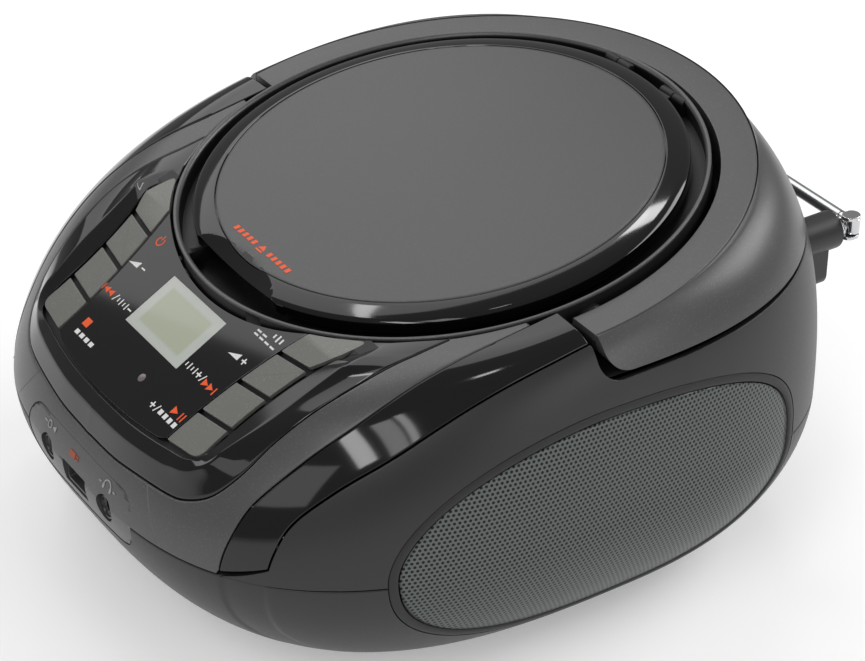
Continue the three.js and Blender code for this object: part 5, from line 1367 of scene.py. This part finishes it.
# Display window with the display and the infrared eye set in it
DISPLAY = (-16.9, 14.5, -23.7, -4.4)
DISPLAY_MIDDLE, DISPLAY_HALVES, DISPLAY_FADE = (-1.2, -14.05, 0), (12.6, 7.6), 1.5
EYE_X, EYE_V, EYE_RADIUS = 7.3, -32.3, 1.45
EYE_FRAME = panel_frame @ Matrix.Translation((EYE_X, EYE_V, 0))


def display_window():
    right = [(key_inner(v) - 0.8, v) for v in np.linspace(KEY_LAST, KEY_TOP, 14)]
    left = [(-x, v) for x, v in reversed(right)]
    foot = [(right[0][0] * s, -43.4 + 3 * s * s) for s in np.linspace(-1, 1, 24)[1:-1]]
    window = outline_plate("display_window", right + left + foot, -1.6, 0.0, panel_frame, 0.12)
    x0, x1, v0, v1 = DISPLAY
    ring = rod("tool", RING_RADIUS + 1, -60, 60, deck_frame, 0, 180)
    hole = slab("tool", (x0 - 0.05, v0 - 0.05, -9), (x1 + 0.05, v1 + 0.05, 9), panel_frame, 0)
    return cut_away(window, ring, hole, rod("tool", EYE_RADIUS, -9, 9, EYE_FRAME, 0, 48))


def display_glass():
    """Pale cell with a greener middle under clear gloss; the middle follows the panel's own axes."""
    material = finish("Display cell", (0.72, 0.735, 0.71), 0.16, tone=0.03, coat=0.5, **SMOOTH)
    tree = material.node_tree
    shader = tree.nodes["Principled BSDF"]
    turn = new_node(tree, "Mapping", vector_type="TEXTURE")
    turn.inputs["Location"].default_value = placed @ panel_frame @ Vector(DISPLAY_MIDDLE)
    turn.inputs["Rotation"].default_value = (PANEL_TILT, 0, 0)
    tree.links.new(new_node(tree, "TexCoord").outputs["Object"], turn.inputs["Vector"])
    split = new_node(tree, "SeparateXYZ", {0: turn.outputs["Vector"]})
    masks = [
        new_node(tree, "MapRange", {
            "Value": maths(tree, "ABSOLUTE", split.outputs[axis]),
            "From Min": half * MM,
            "From Max": (half - DISPLAY_FADE) * MM,
        }, interpolation_type="SMOOTHSTEP").outputs["Result"]
        for axis, half in enumerate(DISPLAY_HALVES)
    ]
    paint = shader.inputs["Base Color"].links[0].from_socket
    tint = mixed(tree, maths(tree, "MULTIPLY", *masks), paint, (*linear(0.66, 0.68, 0.6), 1))
    tree.links.new(tint, shader.inputs["Base Color"])
    return material


def display_cell():
    x0, x1, v0, v1 = DISPLAY
    return slab("display_cell", (x0, v0, -1.75), (x1, v1, -0.06), panel_frame, 0.08)


fitted(display_window(), "cabinet", lens_plastic, "lens", "display_lens")
fitted(display_cell(), "cabinet", display_glass(), "lcd", "lcd_panel")
eye = rod("infrared_eye", EYE_RADIUS - 0.05, -1.75, -0.05, EYE_FRAME, 0.1, 48)
fitted(eye, "cabinet", eye_plastic, "infrared", "ir_window")


# Printed marks: plain pictograms beside the keys, on the lid and over the sockets
def bar(x, v, width, height, turn=0.0):
    c, s = math.cos(turn), math.sin(turn)
    corners = [(a * width / 2, b * height / 2) for a, b in ((-1, -1), (1, -1), (1, 1), (-1, 1))]
    return [(x + a * c - b * s, v + a * s + b * c) for a, b in corners]


def bars(x, v, width, height, count, pitch):
    return [bar(x + pitch * k, v, width, height) for k in range(count)]


def pointer(x, v, width, height):
    """A triangle that points to the right, or to the left where the width is negative."""
    points = [(x - width / 2, v - height / 2), (x + width / 2, v), (x - width / 2, v + height / 2)]
    return points if width > 0 else points[::-1]


def arc(x, v, radius, line, start, stop, steps=24):
    angles = np.linspace(math.radians(start), math.radians(stop), steps)
    runs = ((radius + line / 2, angles), (radius - line / 2, angles[::-1]))
    return [(x + reach * math.cos(a), v + reach * math.sin(a)) for reach, run in runs for a in run]


def plus(x, v, size=2.2, line=0.5):
    middle, half = size / 4 + line / 4, size / 2 - line / 2
    return [bar(x, v, size, line), bar(x, v + middle, line, half), bar(x, v - middle, line, half)]


def loudness(x, v, width=5.0, height=2.2):
    left, right, foot, top = x - width / 2, x + width / 2, v - height / 2, v + height / 2
    return [(left, foot), (right, foot), (right, top)]


def scale_ticks(x, v, count=4, pitch=1.6):
    return [bar(x + k * pitch, v, 0.45, 2.3 if k % 2 else 1.4) for k in range(count)]


def slash(x, v):
    return bar(x, v, 0.4, 2.9, -0.4)


def printed(name, marks, transform, low=-0.02, high=0.03):
    plates = [outline_plate("mark", mark, low, high, transform) for mark in marks]
    return joined(name, *plates)


ORANGE_MARKS = [
    arc(-33, 0.3, 1.5, 0.42, 125, 415), bar(-33, 1.6, 0.42, 1.7),
    bar(-35, -20.8, 0.5, 2.4), pointer(-33.2, -20.8, -2.4, 2.4), pointer(-30.6, -20.8, -2.4, 2.4),
    bar(-27.4, -32.1, 3.0, 2.8),
    pointer(27.6, -20.9, 2.6, 2.6), pointer(30.4, -20.9, 2.6, 2.6), bar(32.5, -20.9, 0.5, 2.6),
    pointer(27.8, -32.4, 2.8, 2.8), bar(30.8, -32.4, 0.5, 2.8), bar(32.2, -32.4, 0.5, 2.8),
]
WHITE_MARKS = [
    loudness(-33.6, -9.3), bar(-28.6, -9.3, 2.0, 0.5),
    slash(-27.4, -20.9), *scale_ticks(-25.6, -20.9), bar(-18.8, -20.9, 1.9, 0.5),
    *bars(-27.4, -36, 2.0, 1.5, 4, 2.9),
    bar(32.4, 2.2, 0.7, 1.4), bar(34.2, 2.2, 0.7, 2.4), bar(36.0, 2.2, 0.7, 1.8),
    *bars(26.4, -0.9, 2.1, 0.6, 4, 2.9), *bars(26.4, 0.4, 2.1, 0.6, 2, 2.9),
    loudness(26.6, -9.0), *plus(31.6, -9.0),
    *scale_ticks(16.0, -20.4), *plus(22.9, -20.4), slash(25.2, -20.4),
    *plus(19.2, -35.4), slash(21.6, -35.4), *bars(23.9, -35.4, 1.7, 1.7, 4, 2.6),
]
LID_MARKS = [
    [(-1.7, -62.2), (1.7, -62.2), (0, -60.3)], bar(0, -63.0, 3.4, 0.6),
    *bars(-4.4, -61.8, 1.5, 1.9, 5, -2.6), *bars(4.4, -61.8, 1.5, 1.9, 5, 2.6),
]
AUX_MARKS = [arc(0, 0, 1.1, 0.35, 0, 360, 25), pointer(3.0, 0, -2.0, 1.8), bar(-2.7, 0, 1.8, 0.4)]
HEAD_MARKS = [
    arc(0, -0.4, 1.9, 0.4, 0, 180), bar(-1.9, -0.9, 0.9, 1.4), bar(1.9, -0.9, 0.9, 1.4),
    bar(-3.9, -0.4, 1.2, 0.4), bar(3.9, -0.4, 1.2, 0.4),
]
PLUG_MARKS = [bar(-0.9, 0, 3.4, 1.9), bar(1.9, 0.45, 1.6, 0.4), bar(1.9, -0.45, 1.6, 0.4)]


def on_front(x, z):
    """A frame that lies on the front of the cabinet, its X to the right and its Z outwards."""
    place = from_front([(x, z)])
    outward = Vector(normals_at(place)[0])
    across = Vector((0, 0, 1)).cross(outward).normalized()
    turn = Matrix((across, outward.cross(across), outward)).transposed().to_4x4()
    return Matrix.Translation(points_at(place)[0]) @ turn


def socket_marks():
    plates = [
        printed("marks", marks, on_front(x, 56.0), -0.15, 0.03)
        for marks, x in ((AUX_MARKS, -18.3), (HEAD_MARKS, 18.6))
    ]
    return joined("socket_marks", *plates)


fitted(printed("white_marks", WHITE_MARKS, panel_frame), "cabinet", white_ink, "lens")
fitted(printed("orange_marks", ORANGE_MARKS, panel_frame), "cabinet", orange_ink, "lens")
fitted(printed("lid_marks", LID_MARKS, deck_frame, 2.0, 2.17), "lid", orange_ink, "charcoal")
fitted(socket_marks(), "cabinet", grey_ink, "charcoal")
plug_mark = printed("plug_mark", PLUG_MARKS, on_front(-1.5, 54.8), -0.15, 0.03)
fitted(plug_mark, "cabinet", dull_orange_ink, "charcoal")


# Antenna: swivel with two cheeks, knuckle and four nested tubes
ROD_Y, ROD_Z, KNUCKLE_X = 120.8, 90.3, 63.8
TUBE_LENGTH, TUBE_OFF = 150, 5.5
TUBES = [(2.1, 1.75), (1.55, 1.25), (1.05, 0.75), (0.55, 0)]


def tube(name, radius, bore, start, stop):
    """A drawn tube whose mouth at the start is turned in a little, or a thin rod where it has no bore."""
    length = stop - start
    place = lying("X", (start, ROD_Y, ROD_Z))
    if not bore:
        return rod(name, radius, 0, length, place, 0.12)
    profile = [
        (bore, length), (bore, 1.0), (bore, 0.2), (bore + 0.1, 0.0), (radius - 0.12, 0.0), (radius, 0.15),
        (radius, length),
    ]
    return turned(name, profile, 40, place)


def swivel():
    disc = rod("disc", 5, 0, 1, lying("Y", (SWIVEL_X, 116.9, SWIVEL_Z)), 0.3, 64)
    cheek = rounded_box(KNUCKLE_X, 119.85, 2.5, 2.95, 2.4)
    cheeks = [outline_plate("cheek", cheek, z, z + 1, bevel=0.25) for z in (86.5, 93.1)]
    shaft = rod("shaft", 2, 0, 5.2, lying("Y", (SWIVEL_X, 112.0, SWIVEL_Z)), 0.2)
    return joined("antenna_swivel_skin", disc, *cheeks, shaft)


def knuckle():
    barrel = rod("barrel", 2.2, -2.5, 2.5, Matrix.Translation((KNUCKLE_X, ROD_Y, ROD_Z)), 0.3, 48)
    collar = rod("collar", 2.2, 0, 5.2, lying("X", (58.6, ROD_Y, ROD_Z)), 0.3, 48)
    return joined("antenna_knuckle_skin", barrel, collar)


for k, (radius, bore) in enumerate(TUBES):
    stop = KNUCKLE_X - TUBE_OFF - 1.5 * k
    start = KNUCKLE_X - TUBE_OFF - TUBE_LENGTH - 3.0 * k
    piece = tube(f"antenna_tube_{k + 1}", radius, bore, start, stop)
    if not bore:
        tip = rod("tip", 1.9, 0, 5.3, lying("X", (start - 5, ROD_Y, ROD_Z)), 0.6)
        piece = joined(piece.name, piece, tip)
    body = f"antenna_tube_{k + 1}" if k else "antenna_arm"
    fitted(piece, body, chrome, "metal", f"antenna_section_{k + 1}")
fitted(swivel(), "antenna_base", chrome, "metal", "antenna_swivel")
fitted(knuckle(), "antenna_arm", chrome, "metal", "antenna_knuckle")


# Disc spindle with its three sprung balls
BALL_REACH, BALL_RADIUS, BALL_W = 6.7, 1.2, -7.1


def spindle():
    profile = softened([
        (0, -19.9), (1.6, -19.9), (1.6, -11.5), (13, -11.5), (13, -9.5), (7.3, -9.5), (7.3, -7.1),
        (4.6, -5.9), (0, -5.9),
    ], 0.3)
    parts = [turned("spindle_skin", profile, 96, deck_frame)]
    for angle in (0, 2 * math.pi / 3, 4 * math.pi / 3):
        ball = added(bpy.ops.mesh.primitive_uv_sphere_add, segments=24, ring_count=12, radius=BALL_RADIUS)
        place = Matrix.Translation((BALL_REACH * math.cos(angle), BALL_REACH * math.sin(angle), BALL_W))
        chosen(settle(ball, "ball", deck_frame @ place))
        bpy.ops.object.shade_smooth()
        parts.append(ball)
    return joined("spindle_skin", *parts)


fitted(spindle(), "spindle", dark_plastic, "matte", "cd_spindle")


# Floor, sky, lamps and camera
SKY = 0.3
FLOOR_LIFT = 0.3
WHITE = (1, 1, 1, 1)


def pale_floor():
    """A pale finish that looks white to the camera and in reflections, but lights nothing more."""
    material, tree, shader = new_material("Pale floor")
    shader.inputs["Roughness"].default_value = 0.9
    shader.inputs["Specular IOR Level"].default_value = 0.0
    place = new_node(tree, "TexCoord").outputs["Object"]
    shade = new_node(tree, "TexNoise", {"Vector": place, "Scale": 2.0})
    tone = new_node(tree, "MapRange", {"Value": shade.outputs["Fac"], "To Min": 0.8, "To Max": 0.82})
    tree.links.new(tone.outputs["Result"], shader.inputs["Base Color"])
    path = new_node(tree, "LightPath")
    seen = path.outputs["Is Camera Ray"]
    for kind in ("Is Glossy Ray", "Is Transmission Ray"):
        seen = maths(tree, "MAXIMUM", seen, path.outputs[kind])
    lift = new_node(tree, "MapRange", {"Value": seen, "To Min": 0.0, "To Max": FLOOR_LIFT})
    tree.links.new(lift.outputs["Result"], shader.inputs["Emission Strength"])
    shader.inputs["Emission Color"].default_value = WHITE
    return material


def studio():
    """A floor under a plain grey sky."""
    floor = added(bpy.ops.mesh.primitive_plane_add, size=8)
    floor.name = "floor"
    floor.data.materials.append(pale_floor())
    world = bpy.data.worlds.new("Studio")
    bpy.context.scene.world = world
    world.use_nodes = True
    background = world.node_tree.nodes["Background"]
    background.inputs["Strength"].default_value = SKY
    background.inputs["Color"].default_value = WHITE


def softbox(name, towards, reach, width, height, level, along=(0, 0, 1)):
    """An even rectangular lamp in a direction from the object, with its height laid along a line."""
    light = bpy.data.lights.new(name, "AREA")
    light.shape = "RECTANGLE"
    light.size, light.size_y = width, height
    light.energy = level * width * height * 4
    holder = bpy.data.objects.new(name, light)
    bpy.context.collection.objects.link(holder)
    back = Vector(towards).normalized()
    holder.location = Vector((0, -0.01, 0.07)) + back * reach
    up = Vector(along)
    up = (up - back * up.dot(back)).normalized()
    holder.rotation_euler = Matrix((up.cross(back), up, back)).transposed().to_euler()


def photo_camera():
    data = bpy.data.cameras.new("Camera")
    data.sensor_width = 36
    data.lens = 2627 / 865 * 36
    data.clip_start, data.clip_end = 0.05, 20
    holder = bpy.data.objects.new("Camera", data)
    bpy.context.collection.objects.link(holder)
    holder.location = (0.57796, -0.36371 - ORIGIN_Y * MM, 0.49272)
    back = Vector((0.70949, -0.45782, 0.53575))
    holder.rotation_euler = (-back).to_track_quat("-Z", "Y").to_euler()
    bpy.context.scene.camera = holder


studio()
BAND_LINE = (0.86, -0.07, -0.5)
softbox("Left softbox", (-0.689, 0.09, 0.719), 1.3, 1.05, 0.9, 1.1, (0.724, 0.126, 0.678))
softbox("Bright front strip", (0.375, -0.604, 0.703), 1.4, 0.14, 0.85, 6.0, BAND_LINE)
softbox("Grey front strip", (0.496, -0.474, 0.727), 1.4, 0.13, 0.85, 2.5, BAND_LINE)
softbox("Thin front strip", (0.5, -0.4, 0.765), 1.4, 0.05, 0.85, 4.0, BAND_LINE)
softbox("Broad front softbox", (0.28, -0.86, 0.42), 1.4, 0.6, 0.5, 1.0)
softbox("Left front softbox", (-0.58, -0.68, 0.4), 1.4, 0.5, 0.4, 2.0)
softbox("Rim strip", (-0.447, -0.104, 0.889), 1.3, 0.05, 0.5, 6.0, (0.6, -0.75, 0.25))
softbox("Rear window", (-0.39, 0.48, 0.785), 1.4, 0.25, 0.12, 9.0)
softbox("Ceiling lamp", (0.026, -0.007, 1.0), 1.4, 0.08, 0.08, 8.0)
softbox("Rear softbox", (0.2, 0.8, 0.57), 1.5, 1.0, 0.6, 4.0)
softbox("Right softbox", (0.98, 0.25, 0.35), 1.5, 0.6, 0.8, 1.6)
photo_camera()


# CAD nodes that keep their own shape
def painted(material, *nodes):
    for name in nodes:
        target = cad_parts[name]
        target.data.materials.clear()
        target.data.materials.append(material)


painted(dark_plastic, "panel_base", "laser_sled", "battery_case")
painted(chrome, "lid_pin_l", "lid_pin_r", "handle_pin_l", "handle_pin_r", "guide_rod_l", "guide_rod_r")
painted(steel, "cd_chassis", "transformer")
painted(cone_paper, "speaker_l", "speaker_r")
painted(board_lacquer, "main_board", "control_board")
painted(rubber, "foot_front_l", "foot_front_r", "foot_rear_l", "foot_rear_r")

bpy.context.scene.view_settings.view_transform = "Standard"
